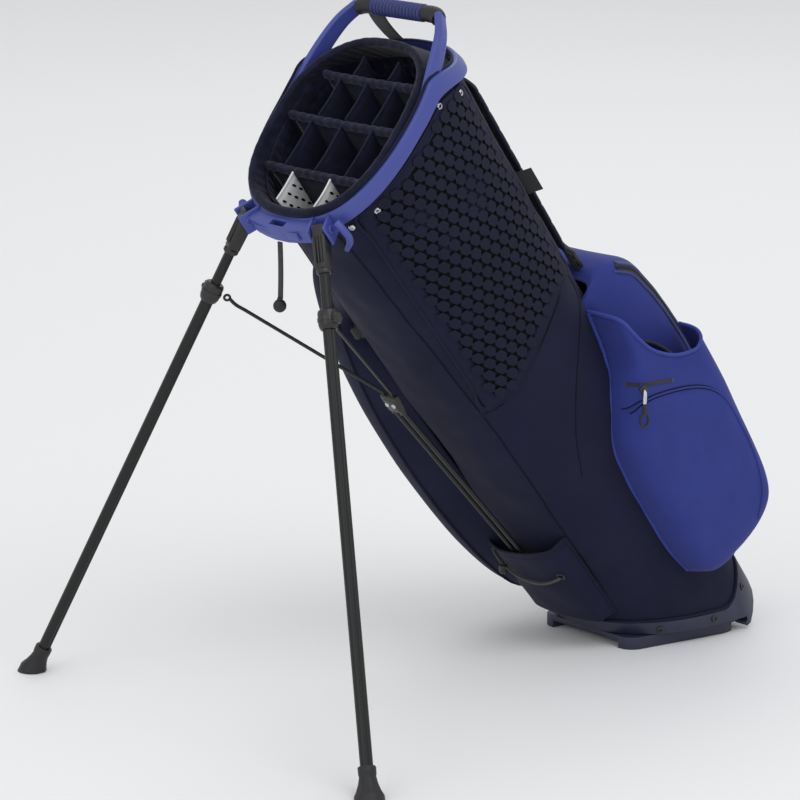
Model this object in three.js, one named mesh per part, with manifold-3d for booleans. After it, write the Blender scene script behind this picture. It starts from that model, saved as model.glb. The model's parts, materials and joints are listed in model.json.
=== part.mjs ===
// Golf stand bag, standing on its base and its two spread legs. Millimetres, +Z up.
// The origin is on the ground, under the middle of the bag's bounding box.
// Most pieces are drawn in the bag's own frame, which leans back: x to the right, y from the
// leg side to the spine side, and z up the bag from its base to its mouth.
import * as THREE from "three";
import { mergeVertices } from "three/addons/utils/BufferGeometryUtils.js";
import Module from "manifold-3d";

const wasm = await Module();
wasm.setup();
const { degToRad, lerp, smoothstep } = THREE.MathUtils;

// ---- Driving dimensions ----
const gap = 0.3; // between pieces that touch
const lean = degToRad(35.5); // of the bag's axis from upright, with the legs out

// The bag's tube, an oval that widens towards the mouth
const ovalPower = 2.5; // 2 is an ellipse, more is squarer
const tubeLow = 90;
const tubeHigh = 850;
const tubeLowSize = { halfWidth: 107, front: -104, back: 112 };
const tubeHighSize = { halfWidth: 118, front: -146, back: 120 };
const panelThickness = 3;
const seamAngle = 0.2; // degrees left free at each edge of a panel
const edgeGap = 2.4; // between a panel and the collar or the tray
const meshPadThickness = 2.5;
const meshPadEdges = [-50, 42];
const frontPanelEdge = 64; // degrees round from the side at which the front panel starts
const spinePanelEdge = 50;

// Mouth: a stiff collar, a padded cuff and a carrying handle
const collarSize = { halfWidth: 120, front: -156, back: 123 };
const collarHeight = 20;
const collarWall = 7;
const collarPeakY = 30;
const collarFrontHeight = 830;
const collarPeakHeight = 884;
const collarBackHeight = 858;
const bracketHalfWidth = 50;
const bracketReach = 14; // how far the bracket stands out in front of the collar
const cheekWall = 3.5;
const cuffSize = { halfWidth: 115, front: -160, back: 80 };
const cuffRoot = { halfWidth: 117, front: -153, back: 120 }; // where the cuff stands in the collar
const cuffCentreHeight = 888;
const cuffSlope = 0.2625; // rise per length from the leg side to the spine side
const cuffThickness = 13;
const handleHalfWidth = 72;
const handleY = 118;
const handleZ = 932;
const handleBarRadius = 6;
const gripRadius = 11;
const gripHalfLength = 46;
const gripRibs = 14;

// Divider of the club compartment
const dividerWall = 2;
const dividerBarWall = 7;
const dividerBarHeight = 16;
const dividerBars = [-95, -26, 33]; // y of each bar across the mouth
const dividerWebs = [[-35, 35], [-56, 0, 56], [-50, 0, 50], [-32, 32]]; // x of the webs, front row first
const dividerBottom = 150;
const dividerDrop = 9; // from the cuff's crest to the top of the dividers

// Base
const plateTop = 16; // height of the foot plate above the ground
const plateThickness = 7;
const plateFront = -138; // from the tube's axis at ground level
const plateFrontHalfWidth = 84;
const plateRearHalfWidth = 100;
const skidWidth = 23;
const hinge = { y: 45, z: 14, radius: 3.5 }; // foot plate hinge, in the leaning view
const hingeKnuckleRadius = 9;
const hingeLug = { from: 71, to: 82 }; // across the bag, on each side
const hingeWidth = 69.5; // half the width of the tray's own knuckle
const trayWall = 4;
const trayProud = 3; // how far the tray stands out of the panels above it
const trayRim = 34; // height of the tray's rim above the ground
const heelTop = 92;
const heelClimbFrom = 20; // y, in the bag's frame

// Legs
const legHinge = new THREE.Vector3(69.3, -164, 842);
const legLength = 661;
const legSplay = degToRad(61.590); // how far each leg turns out from straight ahead, seen from above
const legPinRadius = 3;
const knuckleRadius = 8.5;
const knuckleWidth = 18;
const upperTubeRadius = 6.2;
const lowerTubeRadius = 7.6;
const clampDrop = 105; // from the leg's hinge to the wire clamp
const clampHeight = 24;
const clampRadius = 12;
const footHeight = 30;
const footRadius = 17;

// Leg spreader: two wires, a joiner plate and two push rods
const joiner = new THREE.Vector3(0, -166, 551);
const joinerSize = new THREE.Vector3(30, 9, 26);
const wireRadius = 2.2;
const earReach = 3; // how far the clamp's ear stands out
const wireClearance = 11; // from the clamp to the wire's end, where the linkage is open
const rodRadius = 3;
const rodHalfSpacing = 8;
const rodLowEnd = 215;
const rodLean = 0.132; // how much the rods come forward per length towards the joiner

// Soft goods
const apronTop = 258;
const apronThickness = 3;
const strapThickness = 9;
const apronFront = { high: -136, low: -124 }; // y of its middle at its top and its foot
const pocketOuter = 158; // how far the side pockets stand out from the middle
const backPocketHalfWidth = 92;
const bottle = { x: 116, y: 104, radius: 38, floor: 240 };
const zip = { y: 51, z: 405 }; // the slider's place on the right pocket's face
const hangTop = { y: -177, z: 824 };
const hangLength = 68;

// The elastic cord hangs in a loop between two eyelets on the apron's face.
const bungeeRadius = 1.8;
const bungeePoints = [
  [-70, -121.2, 234],
  [-60, -127, 226],
  [-46, -132, 219],
  [-30, -135.5, 214],
  [-12, -137.5, 211],
  [6, -138, 210],
  [22, -137, 211],
  [36, -134.5, 214],
  [48, -131, 218],
  [57, -128.2, 222],
];

// ---- Frames ----
const upInBag = new THREE.Vector3(0, Math.sin(lean), Math.cos(lean)); // the ground's normal
const bagTurn = new THREE.Quaternion().setFromAxisAngle(new THREE.Vector3(1, 0, 0), lean);

function groundToBag(x, y, z) {
  return new THREE.Vector3(x, y, z).applyQuaternion(bagTurn.clone().invert());
}

// ---- Solids: a closed three.js geometry becomes a manifold and comes back ----
function solid(geometry) {
  const bare = geometry.index ? geometry.toNonIndexed() : geometry.clone();
  for (const name of Object.keys(bare.attributes)) {
    if (name !== "position") bare.deleteAttribute(name);
  }
  const merged = mergeVertices(bare, 1e-4);
  const triVerts = new Uint32Array(merged.index.array);
  const vertProperties = merged.attributes.position.array;
  return new wasm.Manifold(new wasm.Mesh({ numProp: 3, vertProperties, triVerts }));
}

function geometryOf(manifold) {
  const mesh = manifold.getMesh();
  const geometry = new THREE.BufferGeometry();
  geometry.setAttribute("position", new THREE.BufferAttribute(mesh.vertProperties.slice(), 3));
  geometry.setIndex(new THREE.BufferAttribute(mesh.triVerts.slice(), 1));
  return geometry;
}

function join(first, ...others) {
  return geometryOf(others.reduce((sum, other) => sum.add(solid(other)), solid(first)));
}

function cut(first, ...tools) {
  return geometryOf(tools.reduce((rest, tool) => rest.subtract(solid(tool)), solid(first)));
}

function common(first, second) {
  return geometryOf(solid(first).intersect(solid(second)));
}

// ---- Basic shapes ----
function box(from, to) {
  const size = to.map((value, axis) => value - from[axis]);
  const geometry = new THREE.BoxGeometry(...size);
  return geometry.translate(...from.map((value, axis) => value + size[axis] / 2));
}

function rod(from, to, radius, sides = 12) {
  const way = new THREE.Vector3().subVectors(to, from);
  const geometry = new THREE.CylinderGeometry(radius, radius, way.length(), sides);
  const turn = new THREE.Quaternion().setFromUnitVectors(new THREE.Vector3(0, 1, 0), way.normalize());
  const middle = new THREE.Vector3().addVectors(from, to).multiplyScalar(0.5);
  return geometry.applyQuaternion(turn).translate(middle.x, middle.y, middle.z);
}

function circle(radius, sides) {
  const points = [];
  for (let i = 0; i < sides; i++) {
    const angle = (2 * Math.PI * i) / sides;
    points.push(new THREE.Vector2(radius * Math.cos(angle), radius * Math.sin(angle)));
  }
  return new THREE.Shape(points);
}

function roundRect(width, height, radius) {
  const [x, y] = [width / 2, height / 2];
  const shape = new THREE.Shape();
  shape.moveTo(-x + radius, -y);
  shape.lineTo(x - radius, -y);
  shape.quadraticCurveTo(x, -y, x, -y + radius);
  shape.lineTo(x, y - radius);
  shape.quadraticCurveTo(x, y, x - radius, y);
  shape.lineTo(-x + radius, y);
  shape.quadraticCurveTo(-x, y, -x, y - radius);
  shape.lineTo(-x, -y + radius);
  shape.quadraticCurveTo(-x, -y, -x + radius, -y);
  return shape;
}

function sweep(shape, points, steps, curveSegments = 3) {
  const vectors = points.map((point) => new THREE.Vector3(...point));
  const extrudePath = new THREE.CatmullRomCurve3(vectors, false, "centripetal");
  return new THREE.ExtrudeGeometry(shape, { steps, curveSegments, extrudePath });
}

// A side outline given in (y, z), made solid between two x planes.
function sideSlab(outline, fromX, toX, bevel = 0, curveSegments = 4) {
  const bevelled = { bevelEnabled: bevel > 0, bevelThickness: bevel, bevelSize: bevel };
  const geometry = new THREE.ExtrudeGeometry(outline, {
    depth: toX - fromX - 2 * bevel,
    bevelOffset: -bevel,
    bevelSegments: 2,
    curveSegments,
    ...bevelled,
  });
  geometry.translate(0, 0, fromX + bevel);
  const axes = new THREE.Matrix4().set(0, 0, 1, 0, 1, 0, 0, 0, 0, 1, 0, 0, 0, 0, 0, 1);
  return geometry.applyMatrix4(axes);
}

// ---- The tube's oval ----
function ovalPoint(angle) {
  const power = 2 / ovalPower;
  const [c, s] = [Math.cos(angle), Math.sin(angle)];
  return [Math.sign(c) * Math.abs(c) ** power, Math.sign(s) * Math.abs(s) ** power];
}

function onOval(size, angle, offset, z) {
  const [ux, uy] = ovalPoint(angle);
  const halfDepth = (size.back - size.front) / 2;
  const middle = (size.back + size.front) / 2;
  return new THREE.Vector3(ux * (size.halfWidth + offset), middle + uy * (halfDepth + offset), z);
}

function tubeSize(z) {
  const t = (z - tubeLow) / (tubeHigh - tubeLow);
  return {
    halfWidth: lerp(tubeLowSize.halfWidth, tubeHighSize.halfWidth, t),
    front: lerp(tubeLowSize.front, tubeHighSize.front, t),
    back: lerp(tubeLowSize.back, tubeHighSize.back, t),
  };
}

function onTube(angle, offset, z) {
  return onOval(tubeSize(z), angle, offset, z);
}

function bend(geometry, place) {
  const position = geometry.attributes.position;
  for (let i = 0; i < position.count; i++) {
    const point = place(position.getX(i), position.getY(i), position.getZ(i));
    position.setXYZ(i, point.x, point.y, point.z);
  }
  return geometry;
}

// A plate that follows the tube between two angles; low and high give its ends at each y.
function tubePlate(fromDegrees, toDegrees, inner, outer, low, high, segments) {
  const [from, to] = [degToRad(fromDegrees), degToRad(toDegrees)];
  const plate = new THREE.BoxGeometry(outer - inner, to - from, 1, 1, segments, 1);
  plate.translate((inner + outer) / 2, (from + to) / 2, 0.5);
  return bend(plate, (offset, angle, t) => {
    const foot = low(onTube(angle, offset, tubeLow).y);
    const head = high(onTube(angle, offset, tubeHigh).y);
    return onTube(angle, offset, lerp(foot, head, t));
  });
}

// A closed ring; its profile holds (offset, t) pairs and place turns them into a point.
function ring(profile, segments, place) {
  const radius = 100;
  const points = profile.map(([offset, t]) => new THREE.Vector2(radius + offset, t));
  points.push(points[0].clone());
  const geometry = new THREE.LatheGeometry(points, segments).rotateX(Math.PI / 2);
  return bend(geometry, (x, y, t) => place(Math.atan2(y, x), Math.hypot(x, y) - radius, t));
}

function tubeSolid(offset, low, high, segments = 40) {
  const geometry = new THREE.CylinderGeometry(1, 1, 1, segments).rotateX(Math.PI / 2);
  return bend(geometry, (x, y, t) => {
    const z = t < 0 ? low : high;
    if (Math.hypot(x, y) < 0.5) return onTube(0, 0, z).setX(0);
    return onTube(Math.atan2(y, x), offset, z);
  });
}

// ---- Heights along the bag ----
// The collar climbs from the leg side to where the handle leaves it, then drops to the spine.

function collarLine(y) {
  const climb = (y - collarSize.front) / (collarPeakY - collarSize.front);
  const rising = lerp(collarFrontHeight, collarPeakHeight, Math.min(climb, 1));
  const drop = smoothstep(y, collarPeakY, collarSize.back);
  return lerp(rising, collarBackHeight, drop);
}

function cuffLine(y) {
  const middle = (cuffSize.front + cuffSize.back) / 2;
  return cuffCentreHeight + cuffSlope * (y - middle);
}

// Where a level plane at this height above the ground crosses the bag at y.
function levelLine(height, y) {
  return (height - y * Math.sin(lean)) / Math.cos(lean);
}

// The tray's rim is level to the hinge and climbs behind it.

function trayRimLine(y) {
  const climb = smoothstep(y, heelClimbFrom, tubeLowSize.back);
  return levelLine(lerp(trayRim, heelTop, climb), y);
}

// ---- Parts ----
const bag = new THREE.Group(); // everything that leans
bag.rotation.x = lean;

function material(color, roughness, metalness = 0) {
  return new THREE.MeshStandardMaterial({ color, roughness, metalness });
}

const finish = {
  navy: material(0x10152e, 0.85),
  blue: material(0x2b3f9e, 0.85),
  bluePlastic: material(0x33449b, 0.5),
  black: material(0x101114, 0.6),
  rubber: material(0x0c0c0e, 0.8),
  leg: material(0x1b1d22, 0.35, 0.4),
  steel: material(0x8a8d92, 0.3, 1),
  white: material(0xe4e4e2, 0.8),
  velour: material(0x161c3f, 0.9),
  tray: material(0x1d2440, 0.55),
};

function add(parent, name, geometry, surface) {
  const mesh = new THREE.Mesh(geometry, surface);
  mesh.name = name;
  geometry.computeVertexNormals();
  parent.add(mesh);
  return mesh;
}

// The bag's skin: four panels and two mesh pads

function addPanels() {
  const low = (y) => trayRimLine(y) + edgeGap;
  const high = (y) => collarLine(y) - edgeGap;
  const [front, spine] = [frontPanelEdge, spinePanelEdge];
  const panels = {
    front_panel: [front - 180, -front],
    right_panel: [-front, spine],
    spine_panel: [spine, 180 - spine],
    left_panel: [180 - spine, 180 + front],
  };
  for (const [name, [from, to]] of Object.entries(panels)) {
    const edges = [from + seamAngle, to - seamAngle];
    const segments = Math.round((to - from) / 8);
    add(bag, name, tubePlate(...edges, -panelThickness, 0, low, high, segments), finish.navy);
  }
  const meshLow = (y) => lerp(512, 560, smoothstep(y, -110, 20));
  const meshHigh = (y) => collarLine(y) - 8;
  const [from, to] = meshPadEdges;
  const pad = (a, b) => tubePlate(a, b, gap, meshPadThickness, meshLow, meshHigh, 14);
  add(bag, "mesh_panel_right", pad(from, to), finish.navy);
  add(bag, "mesh_panel_left", pad(180 - to, 180 - from), finish.navy);
}

// ---- Mouth ----

function legAxes(side) {
  const hingePoint = new THREE.Vector3(side * legHinge.x, legHinge.y, legHinge.z);
  const down = -hingePoint.dot(upInBag) / legLength;
  const level = Math.sqrt(1 - down * down);
  const out = side * level * Math.sin(legSplay);
  const forward = -level * Math.cos(legSplay);
  const along = groundToBag(out, forward, down);
  const folded = new THREE.Vector3(0, 0, -1);
  const axis = new THREE.Vector3().crossVectors(along, folded).normalize();
  const angle = along.angleTo(folded);
  return { hingePoint, along, axis, angle };
}

function cheeks(side) {
  const { hingePoint, axis } = legAxes(side);
  const turn = Math.atan2(axis.y, axis.x);
  const inner = knuckleWidth / 2 + gap;
  const place = (geometry) => {
    geometry.rotateZ(turn);
    return geometry.translate(hingePoint.x, hingePoint.y, hingePoint.z);
  };
  return [-inner - cheekWall, inner].map((x) => place(box([x, -8, -10], [x + cheekWall, 18, 9])));
}

function pinHole(side) {
  const { hingePoint, axis } = legAxes(side);
  const reach = axis.clone().multiplyScalar(knuckleWidth);
  const radius = legPinRadius + gap;
  return rod(hingePoint.clone().sub(reach), hingePoint.clone().add(reach), radius, 16);
}

function addCollar() {
  const profile = [[collarWall - 3, 0], [collarWall, 0.2], [collarWall, 0.8], [collarWall - 3, 1]];
  profile.push([-2, 1], [-2, 0]);
  const hoop = ring(profile, 56, (angle, offset, t) => {
    const point = onOval(collarSize, angle, offset, 0);
    return point.setZ(collarLine(point.y) + t * collarHeight);
  });
  const front = collarSize.front - collarWall;
  const bracketTop = collarFrontHeight + collarHeight;
  const bracket = box(
    [-bracketHalfWidth, front - bracketReach + 8, collarFrontHeight - 2],
    [bracketHalfWidth, front + 6, bracketTop - 3],
  );
  const slot = box([-13, front - bracketReach, collarFrontHeight + 3], [13, front - 3, bracketTop - 8]);
  const armSection = roundRect(9, 22, 3);
  const arms = [-1, 1].map((side) => {
    const route = [[124, 18, 884], [121, 50, 908], [104, 92, 926], [handleHalfWidth, handleY, handleZ]];
    const points = route.map(([x, y, z]) => [side * x, y, z]);
    return sweep(armSection, points, 10);
  });
  const barEnd = handleHalfWidth + 2;
  const bar = rod(
    new THREE.Vector3(-barEnd, handleY, handleZ),
    new THREE.Vector3(barEnd, handleY, handleZ),
    handleBarRadius,
    16,
  );
  const whole = join(hoop, bracket, ...cheeks(-1), ...cheeks(1), ...arms, bar);
  add(bag, "top_collar", cut(whole, slot, pinHole(-1), pinHole(1)), finish.bluePlastic);
}

function addCuff() {
  // Up to t = 1 the cuff stands inside the collar, and from there to t = 2 it leans to its crest.
  const profile = [[0, 0], [0, 1], [0.5, 1.7], [-3, 2], [3 - cuffThickness, 2]];
  profile.push([-cuffThickness, 1.7], [-cuffThickness, 1], [-cuffThickness, 0]);
  const mouth = ring(profile, 48, (angle, offset, t) => {
    const bottom = onOval(cuffRoot, angle, offset, 0);
    bottom.z = collarLine(bottom.y) + Math.min(t, 1) * (collarHeight + 2 * gap);
    const top = onOval(cuffSize, angle, offset, 0);
    top.z = cuffLine(top.y);
    return bottom.lerp(top, Math.max(t - 1, 0));
  });
  add(bag, "cuff_pad", mouth, finish.velour);
}

function addGrip() {
  const profile = [];
  const hole = handleBarRadius + gap;
  const pitch = (2 * gripHalfLength) / gripRibs;
  for (let i = 0; i < gripRibs; i++) {
    const start = -gripHalfLength + i * pitch;
    profile.push([gripRadius, start], [gripRadius, start + 0.6 * pitch]);
    profile.push([gripRadius - 2, start + 0.7 * pitch], [gripRadius - 2, start + 0.9 * pitch]);
  }
  profile.push([gripRadius - 2, gripHalfLength], [hole, gripHalfLength], [hole, -gripHalfLength]);
  const turned = (points) => {
    const outline = points.map(([radius, x]) => new THREE.Vector2(radius, x));
    outline.push(outline[0].clone());
    return new THREE.LatheGeometry(outline, 16).rotateZ(-Math.PI / 2);
  };
  const place = (geometry, x) => geometry.translate(x, handleY, handleZ);
  add(bag, "handle_grip", place(turned(profile), 0), finish.blue);
  const length = 16;
  const sleeve = [[9.5, 0], [9.5, length], [hole, length], [hole, 0]];
  const inner = gripHalfLength + gap;
  add(bag, "handle_sleeve_right", place(turned(sleeve), inner), finish.rubber);
  add(bag, "handle_sleeve_left", place(turned(sleeve), -inner - length), finish.rubber);
}

// ---- Club dividers ----
function dividerLine(y) {
  return cuffLine(y) - dividerDrop;
}

// Half the free width, or the reach along y, inside an oval at a distance from its middle.
function insideOval(distance, halfAlong, halfAcross) {
  const share = Math.min(Math.abs(distance) / halfAlong, 0.98);
  return halfAcross * (1 - share ** ovalPower) ** (1 / ovalPower);
}

function freeHalfWidth(size, inset, y) {
  const middle = (size.back + size.front) / 2;
  const halfDepth = (size.back - size.front) / 2 - inset;
  return insideOval(y - middle, halfDepth, size.halfWidth - inset);
}

function freeReach(size, inset, x, side) {
  const middle = (size.back + size.front) / 2;
  const halfDepth = (size.back - size.front) / 2 - inset;
  return middle + side * insideOval(x, size.halfWidth - inset, halfDepth);
}

function addDividers() {
  const cuffInset = cuffThickness + 2;
  const tubeInset = panelThickness + 2;
  const foot = tubeSize(dividerBottom);
  const neckHeight = collarFrontHeight - 10;
  const names = ["front", "middle", "back"];
  dividerBars.forEach((y, i) => {
    const top = dividerLine(y);
    const upper = Math.min(freeHalfWidth(cuffSize, cuffInset, y), freeHalfWidth(cuffRoot, cuffInset, y));
    const lower = freeHalfWidth(foot, tubeInset, y);
    const outline = new THREE.Shape();
    outline.moveTo(-lower, dividerBottom);
    outline.lineTo(lower, dividerBottom);
    outline.lineTo(upper, top - dividerBarHeight);
    outline.lineTo(-upper, top - dividerBarHeight);
    const wall = new THREE.ExtrudeGeometry(outline, { depth: dividerWall, bevelEnabled: false });
    wall.rotateX(Math.PI / 2).translate(0, y + dividerWall / 2, 0);
    const halfBar = dividerBarWall / 2;
    const bar = box([-upper, y - halfBar, top - dividerBarHeight - 1], [upper, y + halfBar, top]);
    add(bag, `divider_bar_${names[i]}`, join(wall, bar), finish.velour);
  });

  const rows = ["front", "second", "third", "back"];
  const clear = dividerBarWall / 2 + gap;
  rows.forEach((row, i) => {
    dividerWebs[i].forEach((x, j) => {
      const outline = new THREE.Shape();
      const frontY = i === 0 ? null : dividerBars[i - 1] + clear;
      const backY = i === 3 ? null : dividerBars[i] - clear;
      if (i === 0) {
        const rootFront = freeReach(cuffRoot, cuffInset, x, -1);
        const topFront = Math.max(freeReach(cuffSize, cuffInset, x, -1), rootFront);
        outline.moveTo(backY, dividerBottom);
        outline.lineTo(backY, dividerLine(backY) - 2);
        outline.lineTo(topFront, dividerLine(topFront) - 4);
        const neckFront = Math.max(topFront, freeReach(tubeSize(neckHeight), tubeInset, x, -1));
        outline.lineTo(neckFront, neckHeight - 10);
        outline.lineTo(freeReach(foot, tubeInset, x, -1), dividerBottom);
      } else if (i === 3) {
        const topBack = freeReach(cuffSize, cuffInset, x, 1);
        outline.moveTo(frontY, dividerBottom);
        outline.lineTo(freeReach(foot, tubeInset, x, 1) - 8, dividerBottom);
        outline.lineTo(freeReach(tubeSize(tubeHigh), tubeInset, x, 1) - 8, neckHeight);
        outline.lineTo(topBack, dividerLine(topBack) - 2);
        outline.lineTo(frontY, dividerLine(frontY) - 2);
      } else {
        outline.moveTo(frontY, dividerBottom);
        outline.lineTo(backY, dividerBottom);
        outline.lineTo(backY, dividerLine(backY) - 2);
        outline.lineTo(frontY, dividerLine(frontY) - 2);
      }
      const web = sideSlab(outline, x - dividerWall / 2, x + dividerWall / 2);
      add(bag, `divider_web_${row}_${j + 1}`, web, i === 0 ? finish.white : finish.velour);
    });
  });
}

function addStays() {
  for (const [name, side] of [["right", 1], ["left", -1]]) {
    const from = new THREE.Vector3(side * 60, 86, 90);
    const to = new THREE.Vector3(side * 60, 95, collarBackHeight - 4);
    add(bag, `stay_${name}`, rod(from, to, 3, 10), finish.steel);
  }
}

// ---- Base ----

function onGround(y, z) {
  const point = groundToBag(0, y, z);
  return new THREE.Vector2(point.y, point.z);
}

function trayOutline(inset) {
  const low = plateTop + 1.3 + inset;
  const points = [[-185, low], [hinge.y - 4 + inset, low], [hinge.y + 3 + inset, 5 + 2 * inset]];
  points.push([hinge.y + 11 - inset, 8 + inset], [hinge.y + 35 - inset, 43], [hinge.y + 41 - inset, 80]);
  points.push([hinge.y + 41 - inset, 150]);
  const outline = points.map(([y, z]) => onGround(y, z));
  return outline;
}

function addTray() {
  const lower = trayOutline(0);
  const rim = [];
  for (let y = 120; y >= -120; y -= 8) rim.push(new THREE.Vector2(y, trayRimLine(y)));
  rim.push(new THREE.Vector2(-150, trayRimLine(-120) + 21));
  const ends = lower.slice(0, -1);
  const profile = sideSlab(new THREE.Shape([...ends, ...rim]), -140, 140);
  const outside = common(tubeSolid(trayProud, -80, 180), profile);
  const inner = sideSlab(new THREE.Shape([...trayOutline(trayWall), onGround(-185, 190)]), -140, 140);
  const hollow = common(tubeSolid(trayProud - trayWall, -80, 260), inner);
  const axis = (x) => groundToBag(x, hinge.y, hinge.z);
  const knuckle = rod(axis(-hingeWidth), axis(hingeWidth), hingeKnuckleRadius, 20);
  const bore = rod(axis(-150), axis(150), hinge.radius + gap, 20);
  const notches = [-1, 1].map((side) => {
    const [from, to] = [side * (hingeLug.from - 1), side * (hingeLug.to + 1)];
    return rod(axis(from), axis(to), hingeKnuckleRadius + 3, 20);
  });
  add(bag, "base_tray", cut(join(cut(outside, hollow), knuckle), bore, ...notches), finish.tray);
}

const ground = new THREE.Group(); // what stays on the ground

function addFootPlate() {
  const rear = hinge.y - hingeKnuckleRadius - 3;
  const outline = new THREE.Shape();
  outline.moveTo(-plateFrontHalfWidth + 20, plateFront);
  outline.lineTo(plateFrontHalfWidth - 20, plateFront);
  outline.quadraticCurveTo(plateFrontHalfWidth, plateFront, plateFrontHalfWidth + 2, plateFront + 24);
  outline.lineTo(plateRearHalfWidth, rear - 24);
  outline.quadraticCurveTo(plateRearHalfWidth, rear, plateRearHalfWidth - 14, rear);
  outline.lineTo(-plateRearHalfWidth + 14, rear);
  outline.quadraticCurveTo(-plateRearHalfWidth, rear, -plateRearHalfWidth, rear - 24);
  outline.lineTo(-plateFrontHalfWidth - 2, plateFront + 24);
  outline.quadraticCurveTo(-plateFrontHalfWidth, plateFront, -plateFrontHalfWidth + 20, plateFront);
  const slab = new THREE.ExtrudeGeometry(outline, { depth: plateTop, bevelEnabled: false, curveSegments: 6 });
  const channelHalfWidth = plateFrontHalfWidth - skidWidth;
  const low = plateTop - plateThickness;
  const channel = box([-channelHalfWidth, plateFront - 5, -1], [channelHalfWidth, hinge.y, low]);
  const lugs = [-1, 1].flatMap((side) => {
    const [a, b] = [side * hingeLug.from, side * hingeLug.to].sort((p, q) => p - q);
    const barrel = rod(
      new THREE.Vector3(a, hinge.y, hinge.z),
      new THREE.Vector3(b, hinge.y, hinge.z),
      hingeKnuckleRadius,
      20,
    );
    const arm = box([a, rear - 10, hinge.z - hingeKnuckleRadius], [b, hinge.y, plateTop]);
    return [barrel, arm];
  });
  const bore = rod(
    new THREE.Vector3(-150, hinge.y, hinge.z),
    new THREE.Vector3(150, hinge.y, hinge.z),
    hinge.radius + gap,
    20,
  );
  add(ground, "foot_plate", cut(join(cut(slab, channel), ...lugs), bore), finish.tray);
  const end = hingeLug.to;
  const pin = rod(
    new THREE.Vector3(-end, hinge.y, hinge.z),
    new THREE.Vector3(end, hinge.y, hinge.z),
    hinge.radius,
    20,
  );
  add(ground, "base_hinge_pin", pin, finish.steel);
}

// ---- Legs ----
function addLeg(name, side) {
  const { hingePoint, along, axis, angle } = legAxes(side);
  const leg = new THREE.Group();
  leg.position.copy(hingePoint);
  leg.quaternion.setFromAxisAngle(axis, -angle);
  bag.add(leg);

  const half = axis.clone().multiplyScalar(knuckleWidth / 2);
  const barrel = rod(half.clone().negate(), half, knuckleRadius, 20);
  const down = (from, to, radius, sides) =>
    rod(new THREE.Vector3(0, 0, -to), new THREE.Vector3(0, 0, -from), radius, sides);
  const socket = down(0, 42, knuckleRadius, 20);
  const pinBore = rod(half.clone().multiplyScalar(-2), half.clone().multiplyScalar(2), legPinRadius + gap, 16);
  const tubeBore = down(18, 50, upperTubeRadius + gap, 16);
  add(leg, `leg_knuckle_${name}`, cut(join(barrel, socket), pinBore, tubeBore), finish.black);
  const pinHalf = axis.clone().multiplyScalar(knuckleWidth / 2 + gap + cheekWall);
  add(bag, `leg_pin_${name}`, rod(pinHalf.clone().negate(), pinHalf, legPinRadius, 16), finish.steel)
    .position.copy(hingePoint);

  const clampTop = clampDrop - clampHeight / 2;
  add(leg, `leg_upper_tube_${name}`, down(18 + gap, clampDrop - gap, upperTubeRadius, 16), finish.leg);
  const footTop = legLength - footHeight;
  add(leg, `leg_tube_${name}`, down(clampDrop, footTop + 12, lowerTubeRadius, 16), finish.leg);
  const wireWay = wireRoute(name, side);
  const ear = wireWay.ear.clone().applyQuaternion(leg.quaternion.clone().invert());
  const earMiddle = ear.clone().multiplyScalar(clampRadius - 2).setZ(-clampDrop);
  const earEnd = ear.clone().multiplyScalar(clampRadius + earReach).setZ(-clampDrop);
  const collarRing = down(clampTop, clampTop + clampHeight, clampRadius, 20);
  const body = join(collarRing, rod(earMiddle, earEnd, 4.5, 12));
  const clampBores = [
    down(clampTop - 1, clampDrop, upperTubeRadius + gap, 16),
    down(clampDrop - gap, clampTop + clampHeight + 1, lowerTubeRadius + gap, 16),
  ];
  add(leg, `wire_clamp_${name}`, cut(body, ...clampBores), finish.black);

  const footProfile = [[0, -legLength - 20], [footRadius + 2, -legLength - 20], [footRadius, -legLength]];
  footProfile.push([10.5, -footTop + 2], [10.5, -footTop + 8], [0, -footTop + 8]);
  const outline = footProfile.map(([r, z]) => new THREE.Vector2(r, z));
  const cone = new THREE.LatheGeometry(outline, 20).rotateX(Math.PI / 2);
  const groundNormal = upInBag.clone().applyQuaternion(leg.quaternion.clone().invert());
  const turn = new THREE.Quaternion().setFromUnitVectors(new THREE.Vector3(0, 0, 1), groundNormal);
  const below = box([-80, -80, -90], [80, 80, 0]).applyQuaternion(turn).translate(0, 0, -legLength);
  const footBore = down(footTop - 20, footTop + 12 + gap, lowerTubeRadius + gap, 16);
  add(leg, `leg_foot_${name}`, cut(cone, below, footBore), finish.rubber);
}

// ---- Leg spreader ----
function wireRoute(name, side) {
  const { hingePoint, along } = legAxes(side);
  const clamp = hingePoint.clone().addScaledVector(along, clampDrop);
  const start = new THREE.Vector3(side * 9, joiner.y, joiner.z + joinerSize.z / 2 + wireRadius);
  const way = start.clone().sub(clamp);
  const ear = way.clone().addScaledVector(along, -way.dot(along)).normalize();
  const end = clamp.clone().addScaledVector(ear, clampRadius + wireClearance);
  const bendPoint = end.clone().addScaledVector(ear, 9).addScaledVector(along, 4);
  return { start, end, bendPoint, ear };
}

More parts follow.
